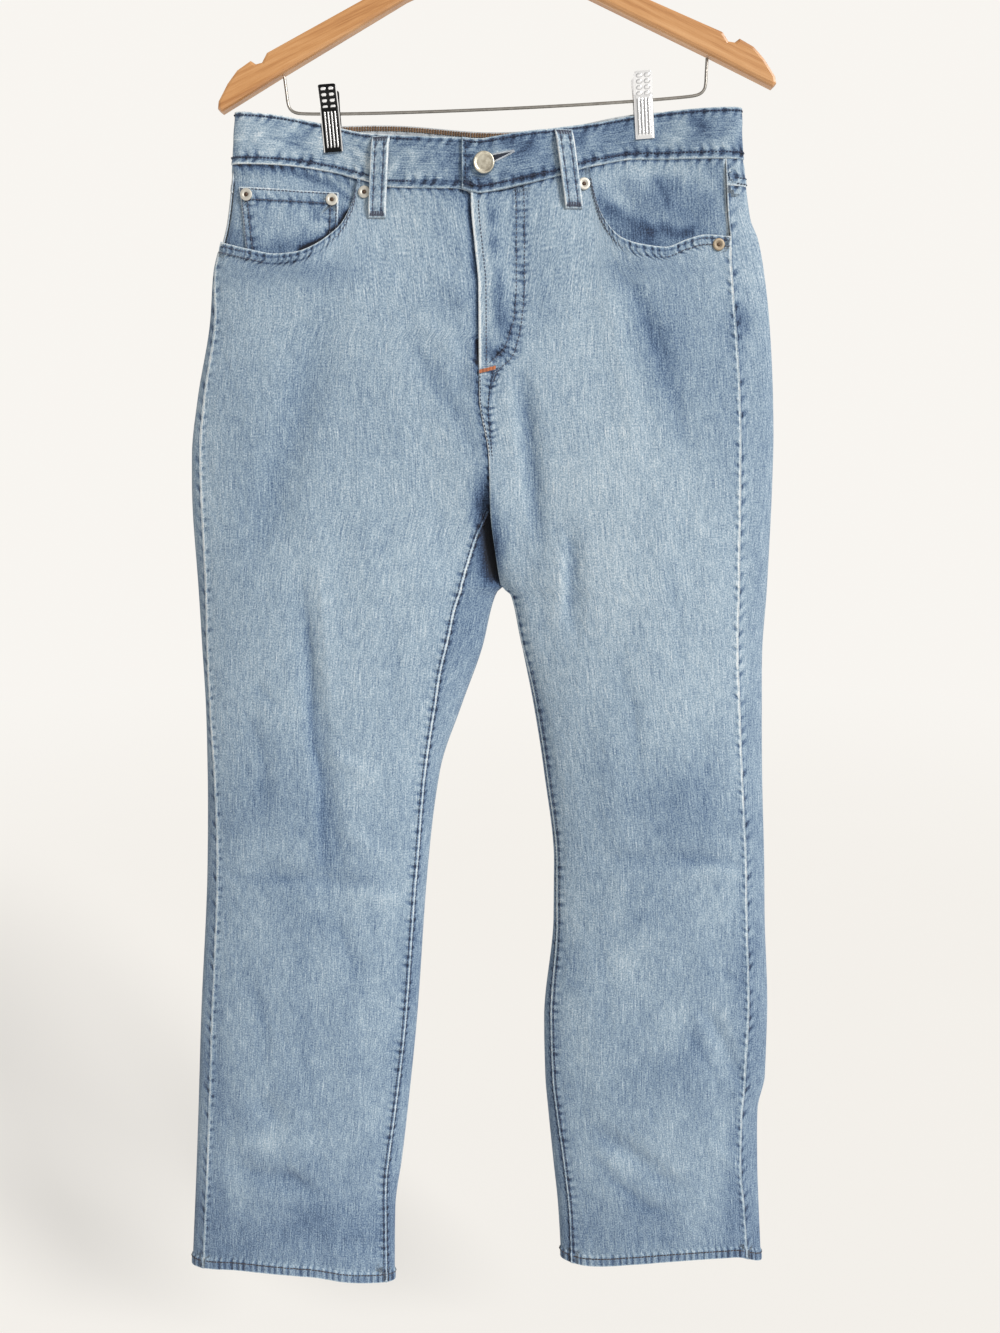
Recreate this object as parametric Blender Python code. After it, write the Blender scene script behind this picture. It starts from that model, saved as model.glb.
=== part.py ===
"""Straight leg jeans, hung by the waistband from the two clips of a wooden hanger.

Metres, +Z up, front towards -Y. The origin is the point of the hook that bears on a rail. Left and right are as
seen from the front, so left is -X. The sizes below are in millimetres.

The cloth is one surface, worked out side by side: at each height a closed section runs from the centre over the
front to the outer fold and back over the seat. The panels, pockets and loops are parts of it, moved in or out.
"""

import math

import bmesh
import bpy
import numpy as np

MM = 0.001
GAP = 0.3  # between two pieces
HALF_GAP = GAP / 2

DENIM = 1.5  # one layer of the cloth
BAND_CLOTH = 2.4  # the folded waistband
PATCH = 1.2  # coin pocket and back pockets

BAND_TOP = -203.0  # nominal heights, before the waist and hem curves bend them
WAIST_SEAM = -244.0
PANEL_TOP = WAIST_SEAM - 0.35
POCKET_ROW = -345.0  # below the pocket mouths the panels run in even rows
FLY_LAP_END = -388.0
FLY_END = -410.0
FRONT_SPLIT_START = -410.0
BACK_SPLIT_START = -400.0
CROTCH_SEAM = -528.0  # where the front rise meets the left inseam
SPLIT = -593.0  # lowest point of the crotch curve, where the legs part
HEM = -1262.0
HEM_CURVE_START = -1150.0
HEM_HEIGHT = 11.0
HEM_LIFT = 0.9

LEFT, RIGHT = -1.0, 1.0
TURN = 2 * math.pi


class Table:
    """Rows of named columns, read by the first column on a smooth curve that never swings past the rows."""

    def __init__(self, columns, *rows):
        values = np.array(sorted(rows), float)
        self.keys = values[:, 0]
        self.values = dict(zip(columns.split(), values.T))

    def read(self, column, at):
        keys = self.keys
        values = self.values[column]
        steps = np.diff(keys)
        slopes = np.diff(values) / steps
        product = slopes[:-1] * slopes[1:]
        total = slopes[:-1] + slopes[1:]
        inner = np.where(product > 0, 2 * product / np.where(total == 0, 1, total), 0)
        tangents = np.concatenate([slopes[:1], inner, slopes[-1:]])
        at = np.clip(at, keys[0], keys[-1])
        cell = np.clip(np.searchsorted(keys, at, side="right") - 1, 0, len(steps) - 1)
        step = steps[cell]
        t = (at - keys[cell]) / step
        rest = 1 - t
        low = values[cell] * (1 + 2 * t) + tangents[cell] * step * t
        high = values[cell + 1] * (3 - 2 * t) - tangents[cell + 1] * step * rest
        return low * rest**2 + high * t**2


# The outer silhouette of the two sides, and how far in from it the outseam lies on the front.
OUTLINE = "height outer outseam_inset"
OUTLINES = {
    LEFT: Table(
        OUTLINE,
        (-203, -205.0, 2.0),
        (-244, -209.5, 2.0),
        (-290, -216.5, 2.0),
        (-306, -221.0, 2.0),
        (-330, -228.0, 2.5),
        (-373, -233.5, 6.0),
        (-434, -247.0, 8.0),
        (-480, -254.5, 9.5),
        (-528, -256.5, 11.0),
        (-593, -255.0, 9.5),
        (-650, -254.0, 7.0),
        (-700, -253.0, 6.0),
        (-760, -254.0, 9.0),
        (-850, -258.0, 12.0),
        (-1000, -271.0, 13.0),
        (-1080, -277.0, 13.0),
        (-1150, -282.5, 13.0),
        (-1262, -292.0, 13.0),
    ),
    RIGHT: Table(
        OUTLINE,
        (-203, 208.0, 15.0),
        (-244, 211.0, 16.0),
        (-290, 218.0, 20.0),
        (-306, 225.0, 25.0),
        (-330, 231.0, 30.0),
        (-373, 238.0, 32.0),
        (-434, 244.0, 32.0),
        (-480, 246.5, 32.0),
        (-528, 247.0, 31.0),
        (-593, 246.5, 29.0),
        (-650, 244.5, 26.0),
        (-700, 246.0, 24.0),
        (-760, 248.5, 22.0),
        (-850, 254.0, 20.0),
        (-900, 256.5, 20.0),
        (-1000, 263.0, 21.0),
        (-1060, 263.5, 22.0),
        (-1095, 258.0, 18.0),
        (-1150, 260.0, 19.0),
        (-1195, 263.0, 17.0),
        (-1262, 268.0, 16.0),
    ),
}

# The fly, the front rise and the crotch curve, seen from the front.
CENTRE = Table("height x", (-203, -13.0), (-250, -13.0), (-290, -10.0), (-330, -7.0), (-434, -6.5), (-480, 1.0),
               (-528, 3.0), (-573, 10.0), (SPLIT, 14.5))

# The inner folds of the legs, and how far out from them the inseams lie on the front.
INNER = "height inner inseam_inset"
INNERS = {
    LEFT: Table(
        INNER,
        (-528, 14.5, 0.8),
        (-560, 14.5, 27.0),
        (-573, 14.5, 33.0),
        (-593, 14.5, 39.5),
        (-600, 8.0, 35.3),
        (-650, -5.0, 36.5),
        (-700, -23.0, 26.0),
        (-760, -43.0, 14.8),
        (-850, -55.0, 10.5),
        (-1000, -67.0, 11.0),
        (-1080, -75.5, 12.0),
        (-1150, -84.0, 13.0),
        (-1195, -91.0, 8.0),
        (-1262, -93.0, 6.0),
    ),
    RIGHT: Table(
        INNER,
        (-593, 14.5, 0.8),
        (-600, 21.5, 1.2),
        (-650, 31.0, 1.5),
        (-700, 41.0, 1.5),
        (-760, 50.5, 1.5),
        (-850, 60.5, 1.5),
        (-900, 60.5, 2.0),
        (-1000, 52.5, 5.0),
        (-1060, 54.0, 6.0),
        (-1095, 57.0, 7.0),
        (-1150, 62.5, 9.0),
        (-1195, 67.0, 9.5),
        (-1262, 71.0, 9.0),
    ),
}

# How far front and back stand from the middle plane, for the trunk as one section and for each leg.
DEPTHS = Table(
    "height trunk_front trunk_back leg_front leg_back middle",
    (-203, 11, 9, 27, 30, 0.0),
    (-244, 12, 10, 27, 30, 0.0),
    (-300, 17, 17, 27, 30, 0.0),
    (-360, 23, 26, 28, 31, 1.0),
    (-420, 27, 32, 29, 32, 2.0),
    (-500, 29, 34, 29, 32, 4.0),
    (-593, 27, 30, 29, 31, 5.0),
    (-700, 27, 28, 27, 28, 3.0),
    (-850, 24, 24, 24, 24, 0.0),
    (-1000, 22, 22, 22, 22, -1.0),
    (-1262, 18, 18, 18, 18, -2.0),
)

# The waistband from above, from the centre (0) to the side fold (1): open at the centre, pinched by the clip.
CLIP_SHARE = (0.54, 0.68)
PINCH = BAND_CLOTH + HALF_GAP + 0.1
WAIST = Table(
    "share front back",
    (0.00, 13.0, 7.0),
    (0.15, 12.5, 7.0),
    (0.30, 10.0, 6.0),
    (0.45, 5.0, 4.0),
    (CLIP_SHARE[0], PINCH, PINCH),
    (CLIP_SHARE[1], PINCH, PINCH),
    (0.80, 5.0, 4.5),
    (0.90, 6.3, 6.0),
    (1.00, 6.5, 6.5),
)
WAIST_FOLD_POWER = 30  # blunt side folds, with room for the folded band inside
LEAST_FOLD = 1500.0  # keeps the side folds round where the trunk is shallow

# How far the waist seam and the band's top edge sag below their nominal heights.
CURVE = "x seam top"
FRONT_CURVES = {
    LEFT: Table(
        CURVE,
        (-209, -3.0, -4.0),
        (-165, -4.0, -8.0),
        (-126, -9.0, -15.0),
        (-100, -16.0, -21.0),
        (-78, -22.0, -23.5),
        (-45, -23.5, -26.0),
        (-24, -23.8, -26.5),
        (-13, -26.2, -28.0),
    ),
    RIGHT: Table(
        CURVE,
        (-13, -26.2, -28.0),
        (-6, -27.6, -28.2),
        (6, -26.0, -26.5),
        (27, -21.5, -23.0),
        (60, -13.0, -18.0),
        (90, -4.0, -13.0),
        (122, 1.0, -7.0),
        (165, 1.0, -3.0),
        (211, 1.0, -1.0),
    ),
}
BACK_CURVE = Table(
    CURVE,
    (-209, -3.0, -4.0),
    (-126, -9.0, -9.0),
    (-60, -13.5, -13.5),
    (5, -18.0, -18.0),
    (60, -15.0, -15.0),
    (127, -5.0, -5.0),
    (211, 1.0, -1.0),
)
WAIST_CURVE_END = -430.0  # where the rows are level

# The hem's height over its nominal one, from the inner fold (0) to the outer fold (1), on the front and back.
HEM_CURVES = {
    LEFT: Table("share rise", (0, -17), (0.2, -10), (0.45, 0), (0.75, 4), (1, 1)),
    RIGHT: Table("share rise", (0, 8), (0.12, 6), (0.35, 12), (0.7, 17), (0.85, 16), (1, 5)),
}

# The largest folds: soft troughs from one point to another.
FOLD = ("x_from", "z_from", "x_to", "z_to", "width", "depth")
FRONT_FOLDS = (
    (-124, -345, -205, -595, 17, 3.2),  # across the left thigh
    (-165, -570, -128, -905, 10, 2.6),  # down the left leg
    (-235, -842, -88, -866, 9, 1.6),  # left knee
    (-19, -375, -19, -440, 7, 2.0),  # beside the fly
    (-220, -1066, -188, -1105, 12, 2.0),
    (-258, -1142, -160, -1168, 11, 2.4),
    (28, -402, 47, -560, 9, 3.0),  # beside the rise
    (72, -535, 77, -655, 8, 2.6),
    (78, -838, 228, -834, 9, 1.7),  # right knee
    (197, -970, 242, -1080, 9, 3.0),
    (86, -1095, 196, -1178, 11, 3.0),  # above the right hem
)
BACK_FOLDS = (
    (-70, -535, -190, -600, 14, 2.6),  # under the seat
    (60, -540, 190, -605, 14, 2.6),
    (-200, -640, -140, -900, 12, 2.6),
    (190, -660, 140, -880, 12, 2.6),
    (-250, -1010, -110, -1045, 11, 2.0),
    (80, -985, 240, -1030, 11, 2.0),
    (-215, -1120, -180, -1215, 10, 2.0),
    (150, -1110, 180, -1200, 10, 2.0),
)

# Pocket mouths, from their inner end at the waist seam to the outseam.
MOUTHS = {
    LEFT: ((-106, -262), (-109, -274), (-113, -284), (-119, -295), (-128, -304), (-141, -313),
           (-156, -318.5), (-172, -319.5), (-196, -315), (-221, -308)),
    RIGHT: ((84, -253), (88, -270), (92, -283), (99, -296), (110, -307), (126, -312.5),
            (146, -314.5), (164, -308), (180, -304), (199, -305)),
}
FACING_BOTTOM = -345.0
FACING_INNER_X = {LEFT: -93.0, RIGHT: 72.0}
# How far the facing lies in from the front's outer face: just under the front, and lower where the coin
# pocket lies between the two.
UNDER_FRONT = DENIM + GAP + 0.2
FACING_DEPTH = {LEFT: UNDER_FRONT + PATCH + GAP + 0.1, RIGHT: UNDER_FRONT + GAP}
FACING_AT_SEAM = 1.0

COIN_TOP = ((-203.5, -265.0), (-121.5, -269.0))
COIN_BOTTOM = ((-197.0, -333.0), (-123.5, -333.0))

YOKE_SIDE, YOKE_CENTRE = -266.0, -322.0
BACK_POCKET_HALF, BACK_POCKET_NARROWING, BACK_POCKET_EDGE_LIFT = 68.0, 8.0, 0.7
BACK_POCKET_CORNER, BACK_POCKET_POINT = -488.0, -508.0
BACK_CENTRE = -6.5
BACK_POCKET_OUT = {LEFT: 119.0, RIGHT: 127.0}  # from the centre seam to the pocket's middle

LOOP_WIDTH, LOOP_CLOTH, LOOP_STAND_OFF = 14.3, 2.0, 2.2
LOOPS = (  # name, on the front, top x and z, bottom x and z
    ("belt_loop_front_left", True, -85.0, -227.5, -89.5, -291.0),
    ("belt_loop_front_right", True, 62.0, -223.0, 71.5, -284.0),
    ("belt_loop_back_left", False, -161.0, -211.0, -161.0, -273.0),
    ("belt_loop_back", False, -12.5, -223.0, -11.5, -287.0),
    ("belt_loop_back_right", False, 163.0, -207.0, 163.0, -269.0),
)

FLAP_END, UNDERLAP_END = -20.0, 22.0  # the waistband's two front ends
FLAP_LIFT, UNDERLAP_DROP = 2.0, 0.7
FLAP_BLEND_END, UNDERLAP_BLEND_START = 60.0, -46.0
FLY_OVERLAP = 8.0
FLY_LIFT, FLY_DROP = 1.6, 0.7
ZIP_HALF_WIDTH, ZIP_THICKNESS, ZIP_END = 13.0, 1.6, -395.0

BUTTON_PLACE = (-2.0, -250.0)
BUTTON_RADIUS, BUTTON_HEIGHT, BUTTON_NECK = 8.6, 3.4, 3.0
RIVET_RADIUS, RIVET_HEIGHT, RIVET_SEAT = 4.5, 1.2, 0.5
RIVETS = (  # name, x, z, how far in from the front's outer face it sits
    ("rivet_left", -100.0, -270.0, 0.0),
    ("rivet_right", 79.5, -264.0, 0.0),
    ("rivet_right_outer", 190.0, -312.0, 0.0),
    ("rivet_coin_outer", -197.0, -271.5, UNDER_FRONT),
    ("rivet_coin_inner", -127.0, -275.0, UNDER_FRONT),
)

HANGER_TILT = math.radians(2.4)
HANGER_THICKNESS = 12.0
HANGER_ROUNDING = 2.5
# Half of the wooden outline in the hanger's own upright frame, from the neck's top round the tip to its underside.
HANGER_HALF = (
    (0.0, -77.0), (10.0, -79.5), (22.0, -84.0), (103.0, -120.5), (183.0, -156.5), (187.5, -163.5), (192.5, -164.5),
    (196.5, -161.8), (208.0, -168.5), (216.5, -178.0), (225.0, -191.0), (226.0, -196.5), (223.0, -199.0),
    (171.0, -172.5), (69.0, -122.0), (38.0, -110.0), (0.0, -106.0),
)
HOOK_RADIUS, HOOK_WIRE = 19.0, 1.9
HOOK_FOOT, HOOK_BEND = -76.6, -57.0
HOOK_JOIN, HOOK_TIP = math.radians(-50), math.radians(222)
BAR_WIRE = 1.2
BAR_HALF = ((0.0, -205.0), (60.0, -204.7), (120.0, -203.6), (152.0, -202.4), (163.0, -200.6),
            (168.5, -195.5), (169.7, -188.0), (171.0, -173.8))

CLIP_LEAN = math.radians(4.3)
CLIP_WIDTH, CLIP_LENGTH, CLIP_SHEET = 15.4, 50.0, 0.9
CLIP_BAR_DOWN = 20.0  # from the clip's top to the bar
CLIPS = (("left", -127.0), ("right", 127.0))
CLIP_JAW = PINCH + GAP
CLIP_PROFILE = (
    (0.0, 7.6), (6.0, 6.2), (13.0, 3.9), (17.0, CLIP_JAW), (46.0, CLIP_JAW), (CLIP_LENGTH, CLIP_JAW + 0.5),
)
BARREL_RADIUS, BARREL_LENGTH = 2.6, 10.0

# Each leg panel is cut in one piece. Its solid is parted at these heights, so that its collision pieces stay
# short and leave the leg open.
PARTINGS = (-645.0, -960.0)
STRETCHES = ("upper", "middle", "lower")
PANEL_ROWS = np.array([
    POCKET_ROW, -372, FLY_LAP_END, -408, -435, -465, -488, -508, CROTCH_SEAM, -550, -573, -585, SPLIT, -601, -618,
    PARTINGS[0] + HALF_GAP, PARTINGS[0] - HALF_GAP, -685, -730, -775, -820, -865, -910,
    PARTINGS[1] + HALF_GAP, PARTINGS[1] - HALF_GAP, -1005, -1050, -1095, -1140, -1180, -1220,
    HEM + HEM_HEIGHT, HEM + HEM_HEIGHT - 2, HEM,
], float)
CROTCH_ROW = int(np.flatnonzero(PANEL_ROWS == CROTCH_SEAM)[0])
SPLIT_ROW = int(np.flatnonzero(PANEL_ROWS == SPLIT)[0])
CENTRE_SHARES = (0.0, 0.06, 0.15, 0.26, 0.4, 0.54, 0.68, 0.8, 0.9)  # from the centre to the pocket mouth
MOUTH_COLUMNS = 8
MOUTH_ROWS = 4  # from the mouth's outer end to POCKET_ROW
# Columns of the back: shares of the turn from the outseam to the outer fold, then from there to the centre.
SIDE_COLUMNS = (0.0, 0.45, 0.75, 1.0)
SEAT_COLUMNS = (0.035, 0.08, 0.14, 0.21, 0.29, 0.37, 0.45, 0.53, 0.62, 0.71, 0.8, 0.88, 0.95, 1.0)
POCKET_COLUMNS = SEAT_COLUMNS[5:9]  # those that the back pocket covers


def smooth(value):
    """0 to 1 with level ends."""
    value = np.clip(value, 0, 1)
    return value * value * (3 - 2 * value)


def of_side(tables, column, side, at):
    left = tables[LEFT].read(column, at)
    right = tables[RIGHT].read(column, at)
    return np.where(side < 0, left, right)


def inner_x(side, v):
    """x of the centre line above the split and of the leg's inner fold below it."""
    return np.where(v >= SPLIT, CENTRE.read("x", v), of_side(INNERS, "inner", side, v))


def fold_depth(folds, x, z):
    """Each fold is a bell across its line, fading out towards both ends."""
    total = np.zeros(np.broadcast(x, z).shape)
    for row in folds:
        fold = dict(zip(FOLD, row))
        along_x = fold["x_to"] - fold["x_from"]
        along_z = fold["z_to"] - fold["z_from"]
        length = math.hypot(along_x, along_z)
        from_x = x - fold["x_from"]
        from_z = z - fold["z_from"]
        share = (from_x * along_x + from_z * along_z) / length**2
        across = (from_x * along_z - from_z * along_x) / length
        fade = smooth(share * 3) * smooth((1 - share) * 3)
        total = total + fold["depth"] * fade * np.exp(-((across / fold["width"]) ** 2))
    return total


def trunk_curve(share, depth):
    """Level at the centre and round at the side fold."""
    power = np.maximum(2.5, LEAST_FOLD / depth**2)
    return np.sqrt(np.clip(1 - share**power, 0, None))


def face_depth(back, side, share, turn, x, v):
    """The face's distance from the middle plane: waist, trunk and leg sections, mixed by height."""
    if back:
        names = ("trunk_back", "leg_back", "back")
        start, power, crotch = BACK_SPLIT_START, 2.4, 0.6
    else:
        names = ("trunk_front", "leg_front", "front")
        start, power, crotch = FRONT_SPLIT_START, 2.0, 0.62
    trunk = DEPTHS.read(names[0], v)
    leg = DEPTHS.read(names[1], v)
    split = np.clip((start - v) / (start - SPLIT), 0, 1)
    round_end = crotch + (1.5 - crotch) * smooth(share / 0.35)
    parted = 1 - (1 - split**power) ** round_end
    rise = np.abs(np.sin(turn))
    inner_power = 1 + 1.2 * (1 - parted)
    rise = np.where(share < 0.5, rise**inner_power, rise)
    body = (1 - parted) * trunk * trunk_curve(share, trunk) + parted * leg * rise
    waist = WAIST.read(names[2], share) * np.sqrt(np.clip(1 - share**WAIST_FOLD_POWER, 0, None))
    below = np.clip((WAIST_SEAM - 2 - v) / (WAIST_SEAM - POCKET_ROW), 0, 1)
    shape = waist + (body - waist) * (1 - (1 - below) ** 2)
    edge = smooth(share / 0.06) * smooth((1 - share) / 0.06)
    return shape - edge * fold_depth(BACK_FOLDS if back else FRONT_FOLDS, x, v)


def curve_drop(back, side, share, x, v):
    """How far the waist and hem curves move a row up or down."""
    if back:
        seam = BACK_CURVE.read("seam", x)
        top = BACK_CURVE.read("top", x)
    else:
        seam = of_side(FRONT_CURVES, "seam", side, x)
        top = of_side(FRONT_CURVES, "top", side, x)
    up_band = np.clip((v - WAIST_SEAM) / (BAND_TOP - WAIST_SEAM), 0, 1)
    waist = (seam + (top - seam) * up_band) * smooth((v - WAIST_CURVE_END) / (WAIST_SEAM - WAIST_CURVE_END))
    hem = of_side(HEM_CURVES, "rise", side, share) * smooth((HEM_CURVE_START - v) / (HEM_CURVE_START - HEM))
    return waist + hem


def plain_cloth(side, turn, v):
    """Points of the outer face. turn is 0 at the centre or inner fold, pi at the outer fold and 2 pi at the
    inner again, over the back; past 2 pi it is on the front again."""
    side, turn, v = np.broadcast_arrays(side, turn, v)
    turn = np.where(turn > TURN, turn - TURN, turn)
    share = (1 - np.cos(turn)) / 2
    outer = of_side(OUTLINES, "outer", side, v)
    inner = inner_x(side, v) + side * HALF_GAP
    x = inner + (outer - inner) * share
    front = face_depth(False, side, share, turn, x, v)
    back = face_depth(True, side, share, turn, x, v)
    on_back = (turn > math.pi) | (turn < 0)
    y = DEPTHS.read("middle", v) + np.where(on_back, back, -front)
    z = v + np.where(on_back, curve_drop(True, side, share, x, v), curve_drop(False, side, share, x, v))
    return np.stack([x, y, z], -1)


def cloth(side, turn, v, lift=0.0):
    """plain_cloth moved out by lift. Above the crotch the slope is read just beside the centre line."""
    side, turn, v, lift = np.broadcast_arrays(side, turn, v, lift)
    turned = np.where(turn > TURN, turn - TURN, turn)
    beside, reach = 0.1, 0.02
    joined = np.clip(turned, beside, TURN - beside)
    middle = np.where(v > SPLIT, joined, turned)
    around = plain_cloth(side, middle + reach, v) - plain_cloth(side, middle - reach, v)
    up = plain_cloth(side, middle, v + 1) - plain_cloth(side, middle, v - 1)
    normal = np.cross(around, up) * side[..., None]
    normal /= np.linalg.norm(normal, axis=-1, keepdims=True)
    return plain_cloth(side, turn, v) + normal * lift[..., None]


def side_of(x, v):
    return np.where(x < inner_x(LEFT, v), LEFT, RIGHT)


def turn_of(side, x, v, back=False):
    outer = of_side(OUTLINES, "outer", side, v)
    inner = inner_x(side, v) + side * HALF_GAP
    share = np.clip((x - inner) / (outer - inner), 0, 1)
    turn = np.arccos(1 - 2 * share)
    return TURN - turn if back else turn


def front_at(x, v, lift=0.0):
    side = side_of(x, v)
    return cloth(side, turn_of(side, x, v), v, lift)


def nominal_height(x, z, back=False):
    """The row that passes through x and z."""
    v = np.array(z, float)
    for _ in range(12):
        side = side_of(x, v)
        share = (1 - np.cos(turn_of(side, x, v))) / 2
        v = z - curve_drop(back, side, share, x, v)
    return v


def on_cloth(x, z, lift=0.0, back=False):
    """The point of the cloth seen at x and z, moved out by lift."""
    x, z = np.broadcast_arrays(np.array(x, float), np.array(z, float))
    v = nominal_height(x, z, back)
    side = side_of(x, v)
    return cloth(side, turn_of(side, x, v, back), v, lift)


def face_normal(x, z, back=False):
    out = on_cloth(x, z, 1.0, back) - on_cloth(x, z, 0.0, back)
    return out / np.linalg.norm(out)


def material(name, colour, roughness, metallic=0.0):
    made = bpy.data.materials.new(name)
    made.use_nodes = True
    shader = made.node_tree.nodes["Principled BSDF"]
    shader.inputs["Base Color"].default_value = (*colour, 1.0)
    shader.inputs["Roughness"].default_value = roughness
    shader.inputs["Metallic"].default_value = metallic
    return made


def add_mesh(name, points, faces, finish, smooth_angle=40):
    """A closed mesh in metres, its faces turned outwards."""
    mesh = bpy.data.meshes.new(name)
    mesh.from_pydata((np.asarray(points) * MM).tolist(), [], [list(map(int, face)) for face in faces])
    work = bmesh.new()
    work.from_mesh(mesh)
    bmesh.ops.recalc_face_normals(work, faces=work.faces)
    work.to_mesh(mesh)
    work.free()
    mesh.shade_smooth()
    mesh.set_sharp_from_angle(angle=math.radians(smooth_angle))
    mesh.materials.append(finish)
    made = bpy.data.objects.new(name, mesh)
    bpy.context.scene.collection.objects.link(made)
    return made


def grid_faces(index):
    """Two triangles a cell, split alike on both faces of a wall so that they stay parallel."""
    a, b, c, d = index[:-1, :-1], index[:-1, 1:], index[1:, 1:], index[1:, :-1]
    return np.stack([np.stack([a, b, c], -1), np.stack([a, c, d], -1)], -2).reshape(-1, 3).tolist()


def add_wall(name, outer, inner, faces, finish):
    """A wall between two like sets of points: both faces, and a rim along each open edge."""
    used = {}
    for face in faces:
        for a, b in zip(face, face[1:] + face[:1]):
            used.setdefault(frozenset((a, b)), []).append((a, b))
    count = len(outer)
    rim = [(b, a, a + count, b + count) for ends in used.values() if len(ends) == 1 for a, b in ends]
    inside = [[corner + count for corner in reversed(face)] for face in faces]
    return add_mesh(name, np.concatenate([outer, inner]), faces + inside + rim, finish)


def add_grid_wall(name, outer, inner, finish):
    rows, columns = outer.shape[:2]
    index = np.arange(rows * columns).reshape(rows, columns)
    return add_wall(name, outer.reshape(-1, 3), inner.reshape(-1, 3), grid_faces(index), finish)


def stretches(heights):
    """First and last rows of the stretches between the partings."""
    starts = [0] + [int(np.flatnonzero(heights < parting)[0]) for parting in PARTINGS]
    return zip(STRETCHES, starts, starts[1:] + [len(heights)])


def hem_lift(v):
    """The turned-up hem is thicker outside."""
    return np.where(v <= HEM + HEM_HEIGHT - 2, HEM_LIFT, 0.0)


def fly_share(v):
    """1 along the fly, fading out at its end."""
    return smooth((v - FLY_END) / (FLY_LAP_END - FLY_END))


def front_start(side, v):
    """x of the front panel's centre or inseam edge."""
    inner = inner_x(side, v)
    inset = INNERS[side].read("inseam_inset", v)
    lap = FLY_OVERLAP * smooth((v - FLY_LAP_END) / 14) if side == LEFT else 0.0
    centre = inner + side * HALF_GAP + lap
    inseam = inner + side * (inset + GAP)
    parted = CROTCH_SEAM if side == LEFT else SPLIT
    return np.where(v <= parted, inseam, centre)


def outseam_x(side, v):
    return OUTLINES[side].read("outer", v) - side * OUTLINES[side].read("outseam_inset", v)


def front_lift(side, x, v):
    """The right fly edge stands over the left panel, which dips under it."""
    from_edge = x - inner_x(side, v)
    if side == LEFT:
        return -FLY_DROP * fly_share(v) * smooth((from_edge + 16) / 14)
    return FLY_LIFT * fly_share(v) * smooth((30 - from_edge) / 20)


def mouth_columns(side):
    """Shares of the panel's width and nominal heights, at even steps along the pocket mouth."""
    x, z = np.array(MOUTHS[side], float).T
    v = nominal_height(x, z)
    start, end = front_start(side, v), outseam_x(side, v)
    share = np.clip((x - start) / (end - start), 0, 1)
    share[-1] = 1.0
    v[0] = PANEL_TOP
    along = np.concatenate([[0], np.cumsum(np.hypot(np.diff(x), np.diff(z)))])
    steps = np.linspace(0, along[-1], MOUTH_COLUMNS + 1)
    return np.interp(steps, along, share), np.interp(steps, along, v)


def front_panel(side, name, colour):
    """Columns from the centre to the outseam; the top edge is the waist seam and then the pocket mouth."""
    mouth_share, mouth_v = mouth_columns(side)
    centre = np.array(CENTRE_SHARES) * mouth_share[0]
    shares = np.concatenate([centre, mouth_share])
    top = np.concatenate([np.full(len(centre), PANEL_TOP), mouth_v])
    down = np.linspace(0, 1, MOUTH_ROWS + 1)[:-1, None]
    upper = top * (1 - down) + POCKET_ROW * down
    lower = np.repeat(PANEL_ROWS[:, None], len(shares), 1)
    v = np.concatenate([upper, lower])
    start = front_start(side, v)
    end = outseam_x(side, v) - side * HALF_GAP
    x = start + (end - start) * shares
    lift = front_lift(side, x, v)
    outer = front_at(x, v, lift + hem_lift(v))
    inner = front_at(x, v, lift - DENIM)
    for word, first, last in stretches(v[:, -1]):
        finish = material(f"denim_{name}_{word}", colour, 0.9)
        add_grid_wall(f"{name}_{word}", outer[first:last], inner[first:last], finish)


def outseam_turn(side, v):
    return turn_of(side, outseam_x(side, v) + side * HALF_GAP, v)


def yoke_seam(turn):
    """Level at the sides and falling to a point at the centre back."""
    share = (1 - np.cos(turn)) / 2
    fall = np.where(turn > math.pi, 1 - share, 0.0)
    return YOKE_SIDE + (YOKE_CENTRE - YOKE_SIDE) * fall


def around_back(side, v):
    """A row of turns for each height, from the outseam over the outer fold and the seat to the centre."""
    start = outseam_turn(side, v)
    to_fold = start + (math.pi - start) * np.array(SIDE_COLUMNS)
    to_centre = math.pi * (1 + np.array(SEAT_COLUMNS))
    return np.concatenate([to_fold, np.broadcast_to(to_centre, (len(v), len(SEAT_COLUMNS)))], 1)


def seam_heights():
    """The yoke seam's height at each column."""
    sides = np.full(len(SIDE_COLUMNS), YOKE_SIDE)
    return np.concatenate([sides, yoke_seam(math.pi * (1 + np.array(SEAT_COLUMNS)))])


def back_rows(side, heights):
    """Turns on rows whose height varies, each point at the outseam's place for its own height."""
    return np.stack([np.diag(around_back(side, row[:, None])) for row in heights])


def yoke(side, name, finish):
    down = np.linspace(0, 1, 4)[:, None]
    v = PANEL_TOP * (1 - down) + (seam_heights() + HALF_GAP) * down
    turn = back_rows(side, v)
    return add_grid_wall(name, cloth(side, turn, v), cloth(side, turn, v, -DENIM), finish)


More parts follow.
